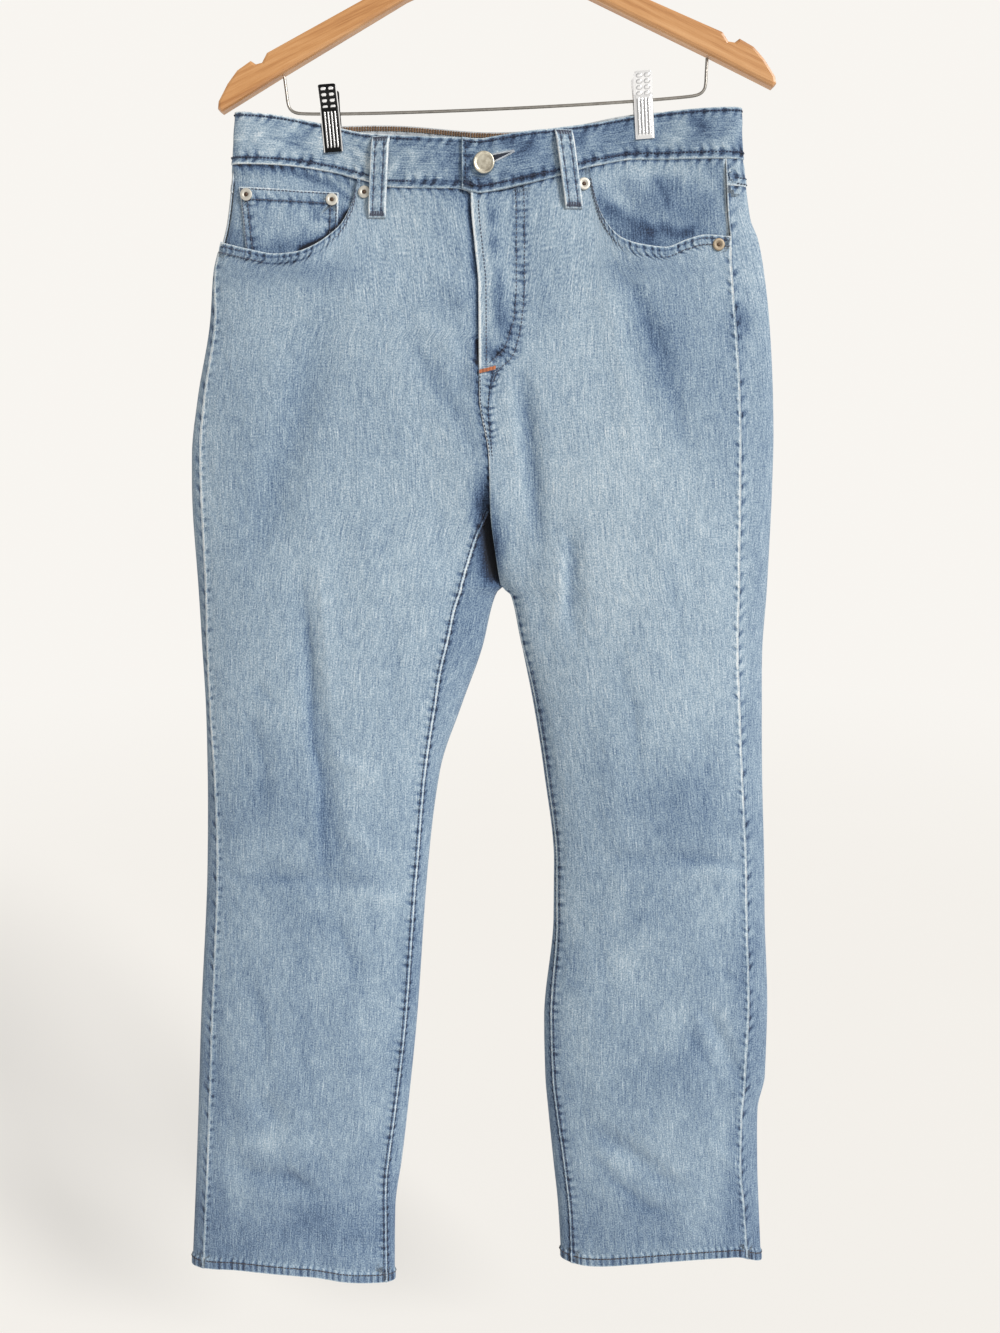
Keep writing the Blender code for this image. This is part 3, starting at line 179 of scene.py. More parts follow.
# finer creases: width, depth (below 0 is a ridge), then the points that the crease runs through
frontCreases = (
    (3.6, 1.5, (-163, -566), (-156, -614), (-154, -665), (-154, -728), (-146, -770), (-147, -823), (-141, -905)),
    (7.0, -1.2, (-143, -560), (-140, -640), (-139, -720)),
    (6.0, -1.3, (-150, -733), (-125, -747), (-92, -768)),
    (6.0, -1.0, (-140, -800), (-110, -822), (-76, -850)),
    (5.0, 0.9, (-206, -672), (-196, -685), (-182, -697)),
    (7.0, -1.0, (-59, -360), (-31, -390), (-13, -414)),
    (7.0, 1.2, (-75, -377), (-42, -420), (-17, -462), (-6, -500)),
    (6.0, 0.8, (-48, -330), (-30, -352), (-16, -372)),
    (5.0, 0.7, (-40, -292), (-26, -310), (-15, -330)),
    (9.0, 1.3, (110, -310), (134, -377), (156, -431), (175, -505)),
    (8.0, -0.9, (88, -330), (104, -372), (118, -430), (126, -500)),
    (6.0, 0.9, (96, -318), (120, -352), (160, -418)),
    (2.8, 1.5, (63, -528), (69, -544), (72, -560), (72.6, -576), (71, -598), (69, -630)),
    (6.0, -1.0, (60, -540), (64, -590), (59, -640)),
    (5.0, 1.5, (25, -387), (30, -420), (35, -460), (40, -508), (43, -542), (49, -585)),
    (7.0, -0.7, (16, -400), (22, -450), (29, -510), (34, -560)),
    (4.0, 1.2, (38, -666), (47, -706), (54, -747), (59, -790)),
    (4.5, 1.0, (172, -841), (202, -838), (234, -843)),
    (5.0, -0.8, (168, -850), (205, -849), (236, -852)),
    (4.5, 0.9, (-250, -851), (-212, -858), (-156, -856)),
    (6.0, -0.8, (-136, -866), (-104, -874), (-72, -880)),
    (7.0, 1.1, (-140, -884), (-128, -925), (-117, -960)),
    (7.0, 1.2, (-205, -1140), (-180, -1160), (-158, -1182)),
    (4.5, -0.8, (-243, -1113), (-222, -1121), (-196, -1124)),
    (4.0, -1.1, (184, -975), (206, -1010), (224, -1040), (236, -1075), (240, -1104)),
    (5.0, 0.9, (176, -985), (196, -1022), (214, -1056), (224, -1090)),
    (7.0, 1.4, (86, -1118), (116, -1156), (152, -1192), (192, -1204)),
    (5.0, -1.0, (206, -1120), (224, -1134), (240, -1152)),
    (5.0, -0.8, (112, -1128), (150, -1150), (200, -1146)),
    (4.0, 0.7, (214, -950), (226, -953), (240, -960)),
    (4.0, 0.8, (206, -362), (212, -373), (222, -382)),
    (3.5, -0.7, (196, -370), (208, -380), (226, -392)),
    (6.0, 0.8, (-214, -700), (-196, -740), (-200, -800)),
    (6.0, 0.7, (110, -640), (128, -700), (134, -770)),
    (5.0, 0.6, (150, -560), (164, -610), (168, -680)),
    (5.0, 0.6, (-90, -590), (-78, -640), (-84, -700)),
    (5.0, 0.7, (-226, -940), (-206, -990), (-210, -1050)),
    (5.0, 0.6, (92, -900), (110, -950), (112, -1020)),
    (4.0, 0.7, (-104, -1230), (-128, -1222), (-150, -1226)),
    (4.0, 0.6, (130, -1226), (160, -1220), (190, -1224)),
)
backCreases = (
    (5.0, 1.1, (-30, -560), (-70, -580), (-110, -585)),
    (5.0, 1.0, (-40, -590), (-90, -612), (-150, -610)),
    (5.0, 1.1, (44, -566), (84, -588), (130, -590)),
    (5.0, 1.0, (50, -600), (100, -622), (160, -618)),
    (6.0, -1.0, (-60, -548), (-110, -566), (-170, -570)),
    (6.0, -1.0, (70, -552), (120, -572), (180, -574)),
    (5.0, 1.0, (-238, -820), (-180, -838), (-110, -832)),
    (5.0, 1.0, (-230, -862), (-170, -880), (-100, -870)),
    (6.0, -0.9, (-232, -842), (-170, -858), (-104, -852)),
    (5.0, 1.0, (86, -826), (150, -842), (220, -832)),
    (5.0, 1.0, (90, -872), (150, -886), (228, -874)),
    (6.0, -0.9, (88, -850), (150, -864), (224, -854)),
    (6.0, 0.9, (-190, -640), (-168, -720), (-160, -800)),
    (6.0, 0.9, (180, -650), (160, -730), (150, -800)),
    (5.0, 0.9, (-250, -1090), (-200, -1120), (-130, -1130)),
    (5.0, 0.9, (96, -1100), (150, -1130), (220, -1120)),
    (5.0, 0.8, (-140, -330), (-110, -352), (-70, -372)),
    (5.0, 0.8, (130, -336), (100, -356), (60, -376)),
)


def smooth(value):
    # 0 to 1 with level ends
    value = np.clip(value, 0, 1)
    return value * value * (3 - 2 * value)


def bell(distance, width):
    return np.exp(-((distance / width) ** 2))


def spot(x, z, middleX, middleZ, halfWidth, halfHeight):
    return np.exp(-((x - middleX) / halfWidth) ** 2 - ((z - middleZ) / halfHeight) ** 2)


def lengthOf(vectors):
    return np.sqrt((vectors**2).sum(-1))


def measured(line):
    # the way along a line from its first point to each
    return np.concatenate([[0], np.cumsum(lengthOf(np.diff(line, axis=0)))])


def latticeNoise(x, z, sizeX, sizeZ, seed):
    # random values on a lattice of sizeX by sizeZ, blended smoothly between its corners, from -1 to 1
    grid = np.random.default_rng(seed).uniform(-1, 1, (128, 128))
    a, b = x / sizeX, z / sizeZ
    i, j = np.floor(a).astype(int), np.floor(b).astype(int)
    s, t = smooth(a - i), smooth(b - j)
    corner = lambda di, dj: grid[(i + di) % 128, (j + dj) % 128]
    low = corner(0, 0) * (1 - s) + corner(1, 0) * s
    high = corner(0, 1) * (1 - s) + corner(1, 1) * s
    return low * (1 - t) + high * t


def ofSide(tables, column, side, at):
    return np.where(side < 0, tables[left].read(column, at), tables[right].read(column, at))


def innerX(side, v):
    # x of the centre line above the split and of the leg's inner fold below it
    return np.where(v >= cut["split"], centre.read("x", v), ofSide(inners, "inner", side, v))


def foldEnds(side, v):
    # x of a leg's or a side's inner and outer fold
    return innerX(side, v) + side * cut["gap"] / 2, ofSide(outlines, "outer", side, v)


def foldDepth(folds, x, z):
    # each fold is a bell across its line, fading out towards both ends
    total = np.zeros(np.broadcast(x, z).shape)
    for xFrom, zFrom, xTo, zTo, width, depth in folds:
        alongX, alongZ = xTo - xFrom, zTo - zFrom
        length = math.hypot(alongX, alongZ)
        share = ((x - xFrom) * alongX + (z - zFrom) * alongZ) / length**2
        across = ((x - xFrom) * alongZ - (z - zFrom) * alongX) / length
        total = total + depth * smooth(share * 3) * smooth((1 - share) * 3) * bell(across, width)
    return total


def creaseDepth(creases, x, z):
    # a bell of the distance to the crease's line, which thins out towards its ends
    total = np.zeros(x.shape)
    for width, depth, *points in creases:
        points = np.array(points, float)
        low, high = points.min(0) - 4 * width, points.max(0) + 4 * width
        near = (x > low[0]) & (x < high[0]) & (z > low[1]) & (z < high[1])
        if not near.any():
            continue
        here = np.stack([x[near], z[near]], -1)
        best = np.full(len(here), 1e9)
        share = np.zeros(len(here))
        lengths = lengthOf(np.diff(points, axis=0))
        start = 0.0
        for a, b, length in zip(points, points[1:], lengths):
            t = np.clip(((here - a) @ (b - a)) / length**2, 0, 1)
            away = lengthOf(here - a - t[:, None] * (b - a))
            closer = away < best
            best = np.where(closer, away, best)
            share = np.where(closer, (start + t * length) / lengths.sum(), share)
            start += length
        fade = smooth(share * 3.5) * smooth((1 - share) * 3.5)
        total[near] += depth * fade * np.exp(-((best / width) ** 1.6))
    return total


ripple = {"tall": 0.42, "small": 0.16, "hang": 0.30}


def rippleDepth(x, z, seed):
    # uneven hand of the cloth: long upright waves with smaller dents between them
    slant = x + 0.12 * z
    tall = latticeNoise(slant, z, 21.0, 95.0, seed)
    small = latticeNoise(x, z, 9.0, 17.0, seed + 1)
    hang = latticeNoise(x - 0.2 * z, z, 38.0, 60.0, seed + 2)
    return ripple["tall"] * tall + ripple["small"] * small + ripple["hang"] * hang


def trunkCurve(share, depth):
    # level at the centre and round at the side fold
    return np.sqrt(np.clip(1 - share ** np.maximum(2.5, 1500.0 / depth**2), 0, None))


def faceDepth(back, side, share, turn, x, v):
    # the face's distance from the middle plane: waist, trunk and leg sections, mixed by height
    if back:
        names, start, power, crotch = ("trunkBack", "legBack", "back"), cut["backSplitStart"], 2.4, 0.6
    else:
        names, start, power, crotch = ("trunkFront", "legFront", "front"), cut["frontSplitStart"], 2.0, 0.62
    trunk, leg = depths.read(names[0], v), depths.read(names[1], v)
    split = np.clip((start - v) / (start - cut["split"]), 0, 1)
    roundEnd = crotch + (1.5 - crotch) * smooth(share / 0.35)
    parted = 1 - (1 - split**power) ** roundEnd
    rise = np.abs(np.sin(turn))
    rise = np.where(share < 0.5, rise ** (1 + 1.2 * (1 - parted)), rise)
    body = (1 - parted) * trunk * trunkCurve(share, trunk) + parted * leg * rise
    atWaist = waist.read(names[2], share) * np.sqrt(np.clip(1 - share**30, 0, None))
    below = np.clip((cut["waistSeam"] - 2 - v) / (cut["waistSeam"] - cut["pocketRow"]), 0, 1)
    shape = atWaist + (body - atWaist) * (1 - (1 - below) ** 2)
    edge = smooth(share / 0.06) * smooth((1 - share) / 0.06)
    loose = smooth((cut["waistSeam"] + 4 - v) / 40) * edge
    folds = edge * foldDepth(backFolds if back else frontFolds, x, v)
    fine = creaseDepth(backCreases if back else frontCreases, x, v) + rippleDepth(x, v, 20 if back else 5)
    return shape - folds - loose * fine


def curveDrop(back, side, share, x, v):
    # how far the waist and hem curves move a row up or down
    if back:
        seam, top = backCurve.read("seam", x), backCurve.read("top", x)
    else:
        seam, top = ofSide(frontCurves, "seam", side, x), ofSide(frontCurves, "top", side, x)
    upBand = np.clip((v - cut["waistSeam"]) / (cut["bandTop"] - cut["waistSeam"]), 0, 1)
    fall = smooth((v - cut["waistCurveEnd"]) / (cut["waistSeam"] - cut["waistCurveEnd"]))
    rise = ofSide(hemCurves, "rise", side, share)
    return (seam + (top - seam) * upBand) * fall + rise * smooth(
        (cut["hemCurveStart"] - v) / (cut["hemCurveStart"] - cut["hem"]))


def plainCloth(side, turn, v):
    # points of the outer face: turn is 0 at the centre or inner fold, pi at the outer fold and 2 pi at the inner
    # again, over the back; past 2 pi it is on the front again
    turn = np.where(turn > fullTurn, turn - fullTurn, turn)
    share = (1 - np.cos(turn)) / 2
    inner, outer = foldEnds(side, v)
    x = inner + (outer - inner) * share
    onBack = (turn > math.pi) | (turn < 0)
    y, z = np.empty(x.shape), np.empty(x.shape)
    for back, part in ((False, ~onBack), (True, onBack)):
        if part.any():
            place = (back, side[part], share[part])
            depth = faceDepth(*place, turn[part], x[part], v[part])
            y[part] = depths.read("middle", v[part]) + (depth if back else -depth)
            z[part] = v[part] + curveDrop(*place, x[part], v[part])
    return np.stack([x, y, z], -1)


def clothAt(side, turn, v):
    # points of the outer face and their outward directions
    side, turn, v = (np.array(item, float) for item in np.broadcast_arrays(side, turn, v))
    turned = np.where(turn > fullTurn, turn - fullTurn, turn)
    middle = np.where(v > cut["split"], np.clip(turned, 0.1, fullTurn - 0.1), turned)
    around = plainCloth(side, middle + 0.012, v) - plainCloth(side, middle - 0.012, v)
    upward = plainCloth(side, middle, v + 1) - plainCloth(side, middle, v - 1)
    out = np.cross(around, upward) * side[..., None]
    out /= np.maximum(lengthOf(out), 1e-9)[..., None]
    return plainCloth(side, turn, v), out


def sideOf(x, v):
    return np.where(x < innerX(left, v), left, right)


def turnOf(side, x, v, back=False):
    inner, outer = foldEnds(side, v)
    turn = np.arccos(1 - 2 * np.clip((x - inner) / (outer - inner), 0, 1))
    return fullTurn - turn if back else turn


def frontAt(x, v):
    side = sideOf(x, v)
    return clothAt(side, turnOf(side, x, v), v)


def nominalHeight(x, z, back=False):
    # the row that passes through x and z
    v = np.array(z, float)
    for _ in range(12):
        side = sideOf(x, v)
        share = (1 - np.cos(turnOf(side, x, v))) / 2
        v = z - curveDrop(back, side, share, x, v)
    return v


def seenAt(x, z, back=False):
    # the point of the cloth seen at x and z
    x, z = (np.array(item, float) for item in np.broadcast_arrays(x, z))
    v = nominalHeight(x, z, back)
    side = sideOf(x, v)
    return clothAt(side, turnOf(side, x, v, back), v)


# shader maths
class Signal:
    # a shader socket that takes part in arithmetic
    def __init__(self, tree, socket):
        self.tree, self.socket = tree, socket

    def maths(self, operation, *items):
        node = self.tree.nodes.new("ShaderNodeMath")
        node.operation = operation
        for place, item in zip(node.inputs, items):
            if isinstance(item, Signal):
                self.tree.links.new(item.socket, place)
            else:
                place.default_value = item
        return Signal(self.tree, node.outputs[0])

    def exp(self):
        return self.maths("EXPONENT", self)

    def sine(self):
        return self.maths("SINE", self)

    def above(self, low):
        return self.maths("MAXIMUM", self, low)

    def below(self, high):
        return self.maths("MINIMUM", self, high)

    def within(self):
        return self.above(0.0).below(1.0)

    __add__ = __radd__ = lambda self, other: self.maths("ADD", self, other)
    __mul__ = __rmul__ = lambda self, other: self.maths("MULTIPLY", self, other)
    __sub__ = lambda self, other: self.maths("SUBTRACT", self, other)
    __rsub__ = lambda self, other: self.maths("SUBTRACT", other, self)
    __truediv__ = lambda self, other: self.maths("DIVIDE", self, other)
    __pow__ = lambda self, other: self.maths("POWER", self, other)
    __neg__ = lambda self: self.maths("MULTIPLY", self, -1.0)


class Finish:
    # a material with one Principled shader, and one way to add any other node
    def __init__(self, name):
        self.material = bpy.data.materials.new(name)
        self.material.use_nodes = True
        self.tree = self.material.node_tree
        self.shader = self.tree.nodes["Principled BSDF"]

    def node(self, kind, settings, sockets, output=0):
        node = self.tree.nodes.new(kind)
        for name, value in settings.items():
            if name == "stops":
                ramp = node.color_ramp.elements
                while len(ramp) > 1:
                    ramp.remove(ramp[-1])
                for number, (at, colour) in enumerate(value):
                    stop = ramp[0] if number == 0 else ramp.new(at)
                    stop.position = at
                    stop.color = (*colour, 1.0)
            else:
                setattr(node, name, value)
        for name, value in sockets.items():
            self.feed(node.inputs[name], value)
        return Signal(self.tree, node.outputs[output])

    def feed(self, place, value):
        if isinstance(value, Signal):
            self.tree.links.new(value.socket, place)
        else:
            place.default_value = value

    def set(self, **values):
        # the names of the shader's sockets are written without blanks
        for name, value in values.items():
            place = next(item for item in self.shader.inputs if item.name.replace(" ", "") == name)
            self.feed(place, value)

    def noise(self, vector, scale, detail=2.0, roughness=0.5):
        return self.node("ShaderNodeTexNoise", {}, {"Vector": vector, "Scale": scale, "Detail": detail,
                                                    "Roughness": roughness})

    def attribute(self, name, output=2):
        return self.node("ShaderNodeAttribute", {"attribute_name": name}, {}, output)

    def parts(self, vector):
        return [self.node("ShaderNodeSeparateXYZ", {}, {"Vector": vector}, i) for i in range(3)]

    def together(self, x, y, z=0.0):
        return self.node("ShaderNodeCombineXYZ", {}, {"X": x, "Y": y, "Z": z})

    def ramp(self, value, *stops):
        return self.node("ShaderNodeValToRGB", {"stops": stops}, {"Fac": value})

    def objectPlace(self):
        return self.node("ShaderNodeTexCoord", {}, {}, 3)

    def bump(self, height):
        # height in millimetres
        return self.node("ShaderNodeBump", {}, {"Height": height * 0.001, "Distance": 1.0, "Strength": 1.0})


def linear(*levels):
    # screen levels of 0 to 255 as the light that the shader works in
    shares = np.array(levels) / 255
    return tuple(float(v) for v in np.where(shares > 0.04045, ((shares + 0.055) / 1.055) ** 2.4, shares / 12.92))


# denim
dyeAndShade = {
    "stops": ((0.00, (16, 21, 32)), (0.20, (34, 48, 72)), (0.36, (60, 82, 112)), (0.50, (95, 117, 143)),
              (0.62, (126, 146, 165)), (0.74, (155, 173, 187)), (0.86, (186, 198, 207)), (1.00, (218, 222, 223))),
    "level": 0.525, "streak": 0.62, "line": 0.17, "speck": 1.20, "mottle": 0.25, "cloud": 0.08,
    "tick": 0.50, "tickReach": 4.6, "recess": 0.30, "wear": 0.34,
}


def denimFinish(name):
    # grain: millimetres across and along the warp; edge, seam and run: millimetres to the nearest folded edge, to
    # the nearest puckered seam and along it; tone: paler or deeper dye, with painted shade and painted light mixed
    # in;
    # inside: 1 on the wrong side of the cloth
    made = Finish(name)
    across, along, _ = made.parts(made.attribute("grain", 1))
    edge, seam, run = made.attribute("edge"), made.attribute("seam"), made.attribute("run")
    tone, inside = made.attribute("tone"), made.attribute("inside")
    patchy = lambda x, y, z, detail, roughness: made.noise(made.together(x, y, z), 1.0, detail, roughness)
    streak = patchy(across / 1.1, along / 14.0, 0.0, 2.0, 0.6) - 0.5
    thread = patchy(across / 0.8 + 31.0, along / 40.0, 0.0, 1.0, 0.5)
    speck = patchy(across / 1.25, along / 1.45, 4.0, 2.0, 0.7) - 0.5
    mottle = patchy(across / 6.0, along / 9.0, 9.0, 3.0, 0.6) - 0.5
    cloud = patchy(across / 55.0, along / 90.0, 2.0, 2.0, 0.5) - 0.5
    # puckers: an uneven wave along a seam, with painted shade in its troughs and painted light on its ridges, that
    # fades out a few millimetres from the seam
    drift = patchy(run / 23.0, seam / 40.0, 7.0, 1.0, 0.5)
    strong = ((patchy(run / 15.0, 3.0, 17.0, 1.0, 0.5) - 0.36) * 4.0).within()
    wave = ((run + seam * 0.5) * 0.72 + drift * 5.0).sine()
    broken = patchy(across / 1.6, along / 1.6, 13.0, 2.0, 0.6)
    worn = ((1.7 - edge) / 1.1).within() * (broken * 0.9 + 0.5)
    near = (-(((seam - 0.8) / dyeAndShade["tickReach"]) ** 2.0)).exp() * strong * (1.0 - worn.below(1.0) * 0.8)
    # painted shade in the pucker troughs (wedge) and painted light on the ridges between them
    wedge = ((wave + 0.10) * 1.1).within() * near
    between = ((-wave - 0.2) * 1.2).within() * near
    # painted shade in a strip beside each seam, kept off the worn edges
    beside = ((2.6 - seam) / 1.3).within() * (1.0 - worn.below(1.0))
    darkThread = ((thread - 0.60) * 7.0).within()
    paleThread = ((0.40 - thread) * 7.0).within()
    value = (tone + dyeAndShade["level"] + streak * dyeAndShade["streak"] + speck * dyeAndShade["speck"] + mottle * dyeAndShade["mottle"]
             + cloud * dyeAndShade["cloud"] + (paleThread - darkThread) * dyeAndShade["line"] - wedge * dyeAndShade["tick"] + between * 0.10
             - beside * dyeAndShade["recess"] * (broken + 0.35) + worn * dyeAndShade["wear"])
    outside = made.ramp((value + 0.5) / 1.5, *((at, linear(*colour)) for at, colour in dyeAndShade["stops"]))
    wrongSide = made.ramp(value * 0.6 + 0.3, (0.0, linear(120, 132, 146)), (1.0, linear(206, 209, 210)))
    colour = made.node("ShaderNodeMix", {"data_type": "RGBA"}, {"Factor": inside}, 2)
    mixer = colour.socket.node
    made.feed(mixer.inputs[6], outside)
    made.feed(mixer.inputs[7], wrongSide)
    twill = (across * 5.6 + along * 4.2).sine()
    crumple = patchy(across / 5.0, along / 9.0, 21.0, 2.0, 0.5) - 0.5
    height = (twill * 0.018 + streak * 0.14 + speck * 0.14 + crumple * 0.6 + mottle * 0.6
              - wedge * 0.8 + between * 0.35 - (-((seam / 0.9) ** 2.0)).exp() * 0.25)
    made.set(BaseColor=colour, Roughness=0.92, Normal=made.bump(height), SheenWeight=0.12, SheenRoughness=0.6,
             SpecularIORLevel=0.25)
    return made.material


denim = denimFinish("light_stonewashed_denim")


def threadFinish(name, levels):
    made = Finish(name)
    place = made.objectPlace()
    twist = made.noise(place, 2600.0, 1.0) - 0.5
    patch = made.noise(place, 90.0, 2.0)
    deep, pale = (linear(*(level * share for level in levels)) for share in (0.72, 1.22))
    made.set(BaseColor=made.ramp(patch * 0.7 + twist * 0.6 + 0.15, (0.2, deep), (0.8, pale)), Roughness=0.75,
             Normal=made.bump(twist * 0.12), SheenWeight=0.1)
    return made.material


threads = {
    "navy": threadFinish("navy_thread", (34, 44, 70)),
    "grey": threadFinish("grey_thread", (74, 80, 98)),
    "hem": threadFinish("dark_hem_thread", (60, 56, 62)),
    "orange": threadFinish("orange_bartack_thread", (184, 112, 74)),
    "brown": threadFinish("brown_chain_thread", (120, 92, 66)),
    # the slit's dark thread stands in for the shade in the buttonhole's opening
    "slit": threadFinish("buttonhole_slit_painted_shade", (26, 34, 52)),
    "pale": threadFinish("pale_buttonhole_thread", (176, 184, 194)),
}
print("materials made")


# meshes
def addPiece(name, points, faces, finish, attributes=None, sharpDegrees=None):
    # points in millimetres; faces is a list of arrays of like-sided faces; attributes hold a value for each point
    mesh = bpy.data.meshes.new(name)
    corners = np.concatenate([group.reshape(-1) for group in faces])
    counts = np.concatenate([np.full(len(group), group.shape[1]) for group in faces])
    mesh.vertices.add(len(points))
    mesh.vertices.foreach_set("co", (np.asarray(points) * 0.001).astype(np.float32).ravel())
    mesh.loops.add(len(corners))
    mesh.loops.foreach_set("vertex_index", corners.astype(np.int32))
    mesh.polygons.add(len(counts))
    mesh.polygons.foreach_set("loop_start", np.concatenate([[0], np.cumsum(counts)[:-1]]).astype(np.int32))
    mesh.update(calc_edges=True)
    mesh.validate()
    for key, values in (attributes or {}).items():
        kind = "FLOAT_VECTOR" if values.ndim == 2 else "FLOAT"
        layer = mesh.attributes.new(key, kind, "POINT")
        layer.data.foreach_set("vector" if values.ndim == 2 else "value", values.astype(np.float32).ravel())
    mesh.shade_smooth()
    if sharpDegrees:
        mesh.set_sharp_from_angle(angle=math.radians(sharpDegrees))
    mesh.materials.append(finish)
    piece = placed(name, mesh)
    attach(piece, "root")
    return piece


def gridQuads(index):
    return np.stack([index[:-1, :-1], index[:-1, 1:], index[1:, 1:], index[1:, :-1]], -1).reshape(-1, 4)


def closedWall(outer, inner, quads):
    # both faces of a wall and a rim round its open edges, all turned outwards
    count = len(outer)
    edges = np.concatenate([quads[:, [i, (i + 1) % 4]] for i in range(4)])
    keys = np.sort(edges, 1)
    codes = keys[:, 0] * count + keys[:, 1]
    _, first, uses = np.unique(codes, return_index=True, return_counts=True)
    rim = edges[first[uses == 1]]
    rimQuads = np.stack([rim[:, 1], rim[:, 0], rim[:, 0] + count, rim[:, 1] + count], -1)
    faces = np.concatenate([quads, quads[:, ::-1] + count, rimQuads])
    points = np.concatenate([outer, inner])
    a, b, c, d = (outer[quads[:, i]] for i in range(4))
    middle = (a + b + c + d) / 4
    under = inner[quads].mean(1)
    flow = (np.cross(c - a, d - b) * (middle - under)).sum()
    return points, (faces if flow > 0 else faces[:, ::-1])


def arcs(points, axis):
    # distances along the grid's lines from their first point
    steps = lengthOf(np.diff(points, axis=axis))
    start = np.zeros_like(np.take(steps, [0], axis))
    return np.concatenate([start, np.cumsum(steps, axis)], axis)


def rolled(distance, radius=0.9, drop=0.75):
    # how far an edge falls away: a quarter circle's fall within the radius
    t = np.clip(1 - distance / radius, 0, 1)
    return -drop * (1 - np.sqrt(1 - t**2 * 0.98))


farAway = 200.0


def evened(values, reach):
    # a running mean down the rows, taken twice, so that small dents don't bend the grain
    for _ in range(2):
        padded = np.concatenate([np.repeat(values[:1], reach, 0), values, np.repeat(values[-1:], reach, 0)])
        sums = np.concatenate([np.zeros_like(padded[:1]), np.cumsum(padded, 0)])
        values = (sums[2 * reach + 1:] - sums[:-2 * reach - 1]) / (2 * reach + 1)
    return values


class Grid:
    # a grid of cloth points with their outward directions and the distances to its four sides
    def __init__(self, base, out, grainTurned=False):
        self.base, self.out = base, out
        across, down = arcs(base, 1), arcs(base, 0)
        self.fromStart, self.fromEnd = across, across[:, -1:] - across
        self.fromTop, self.fromBottom = down, down[-1:] - down
        middle = base.shape[1] // 2
        u = evened(across - across[:, middle:middle + 1], min(14, len(base) // 4))
        w = np.broadcast_to(down[:, middle:middle + 1], u.shape)
        self.grain = np.stack([w, u, 0 * u] if grainTurned else [u, w, 0 * u], -1)
        self.edge = np.full(u.shape, farAway)
        self.seam = np.full(u.shape, farAway)
        self.run = np.zeros(u.shape)
        self.tone = np.zeros(u.shape)
        self.lift = np.zeros(u.shape)

    def foldedEdge(self, distance):
        self.edge = np.minimum(self.edge, distance)
        self.lift = self.lift + rolled(distance)

    def wornLine(self, distance):
        self.edge = np.minimum(self.edge, np.abs(distance))

    def puckeredSeam(self, distance, run):
        closer = distance < self.seam
        self.seam = np.where(closer, distance, self.seam)
        self.run = np.where(closer, run, self.run)

    def area(self):
        a, b = np.diff(self.base, axis=1)[:-1], np.diff(self.base, axis=0)[:, :-1]
        return float(lengthOf(np.cross(a, b)).sum()) * 1e-6

    def size(self):
        return float(self.fromStart[:, -1].max()) / 1000, float(self.fromTop[-1].max()) / 1000

    def faces(self, thickness, innerLift=None):
        outer = self.base + self.out * self.lift[..., None]
        drop = (self.lift if innerLift is None else innerLift) - thickness
        inner = self.base + self.out * np.asarray(drop)[..., None]
        return outer, inner

    def values(self):
        flat = {"grain": self.grain.reshape(-1, 3)}
        for key in ("edge", "seam", "run", "tone"):
            flat[key] = getattr(self, key).ravel()
        return flat


def bothFaces(values):
    # the same values on both faces of a wall, with the inner one marked
    flat = {key: np.concatenate([item, item]) for key, item in values.items()}
    count = len(values["tone"])
    flat["inside"] = np.concatenate([np.zeros(count), np.ones(count)])
    return flat


def addCloth(name, grid, thickness, innerLift=None, replaces=()):
    outer, inner = grid.faces(thickness, innerLift)
    index = np.arange(grid.edge.size).reshape(grid.edge.shape)
    points, faces = closedWall(outer.reshape(-1, 3), inner.reshape(-1, 3), gridQuads(index))
    piece = addPiece(name, points, [faces], denim, bothFaces(grid.values()), 60)
    for node in replaces:
        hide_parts(node)
    grid.size()
    grid.area()


def spaced(start, end, step, tightStart=False, tightEnd=False):
    # positions from start to end about a step apart, with closer ones at the edges that roll over
    length = abs(end - start)
    tight = np.array([0.0, 0.35, 0.8, 1.6])
    first = tight if tightStart else np.array([0.0])
    last = (length - tight[::-1]) if tightEnd else np.array([length])
    count = max(2, int(round((last[0] - first[-1]) / step)) + 1)
    middle = np.linspace(first[-1], last[0], count)[1:-1]
    return start + math.copysign(1, end - start) * np.concatenate([first, middle, last])


# wash and painted shade: paler (above 0) and deeper (below 0) places, among them painted shadows of folds and
# of the crotch: x, z, half width, half height, amount
frontWashAndShade = (
    (-170, -440, 60, 110, -0.03), (-60, -460, 60, 90, -0.02), (120, -470, 60, 90, 0.04),
    (150, -400, 26, 60, -0.12), (130, -600, 60, 70, 0.06), (-215, -560, 30, 140, -0.06),
    (205, -430, 24, 70, -0.12), (210, -373, 11, 15, -0.26), (-230, -372, 10, 18, -0.16),
    (-175, -800, 70, 50, -0.10), (150, -780, 60, 40, -0.12), (185, -815, 40, 40, -0.08),
    (-105, -770, 30, 30, 0.03), (-118, -875, 46, 14, 0.06), (-160, -940, 80, 90, -0.02),
    (160, -950, 80, 90, 0.02), (-196, -1118, 50, 12, 0.08), (165, -1190, 90, 50, 0.04),
    (-190, -1215, 110, 34, -0.10), (150, -1135, 60, 16, 0.06), (222, -1040, 16, 60, 0.10),
    (194, -1030, 14, 60, -0.10), (-20, -330, 40, 60, -0.03), (6, -291, 5, 8, -0.34), (6, -311, 5, 8, -0.30),
    (10, -350, 5, 17, -0.34), (12, -374, 5, 12, -0.36), (1, -393, 2.6, 11, -0.50), (10, -399, 9, 4.5, -0.52),
    (20, -382, 4, 9, -0.30), (38, -290, 14, 34, -0.05), (-5, -524, 8, 24, -0.62), (4, -560, 9, 26, -0.75),
    (140, -385, 40, 50, -0.10), (50, -350, 14, 40, -0.08), (88, -505, 30, 40, 0.04),
    (-106, -292, 12, 10, 0.04), (-140, -334, 50, 12, -0.14), (130, -330, 50, 12, -0.10),
    (-30, -264, 14, 12, -0.14), (110, -255, 50, 14, -0.06), (-200, -330, 40, 14, -0.08),
)
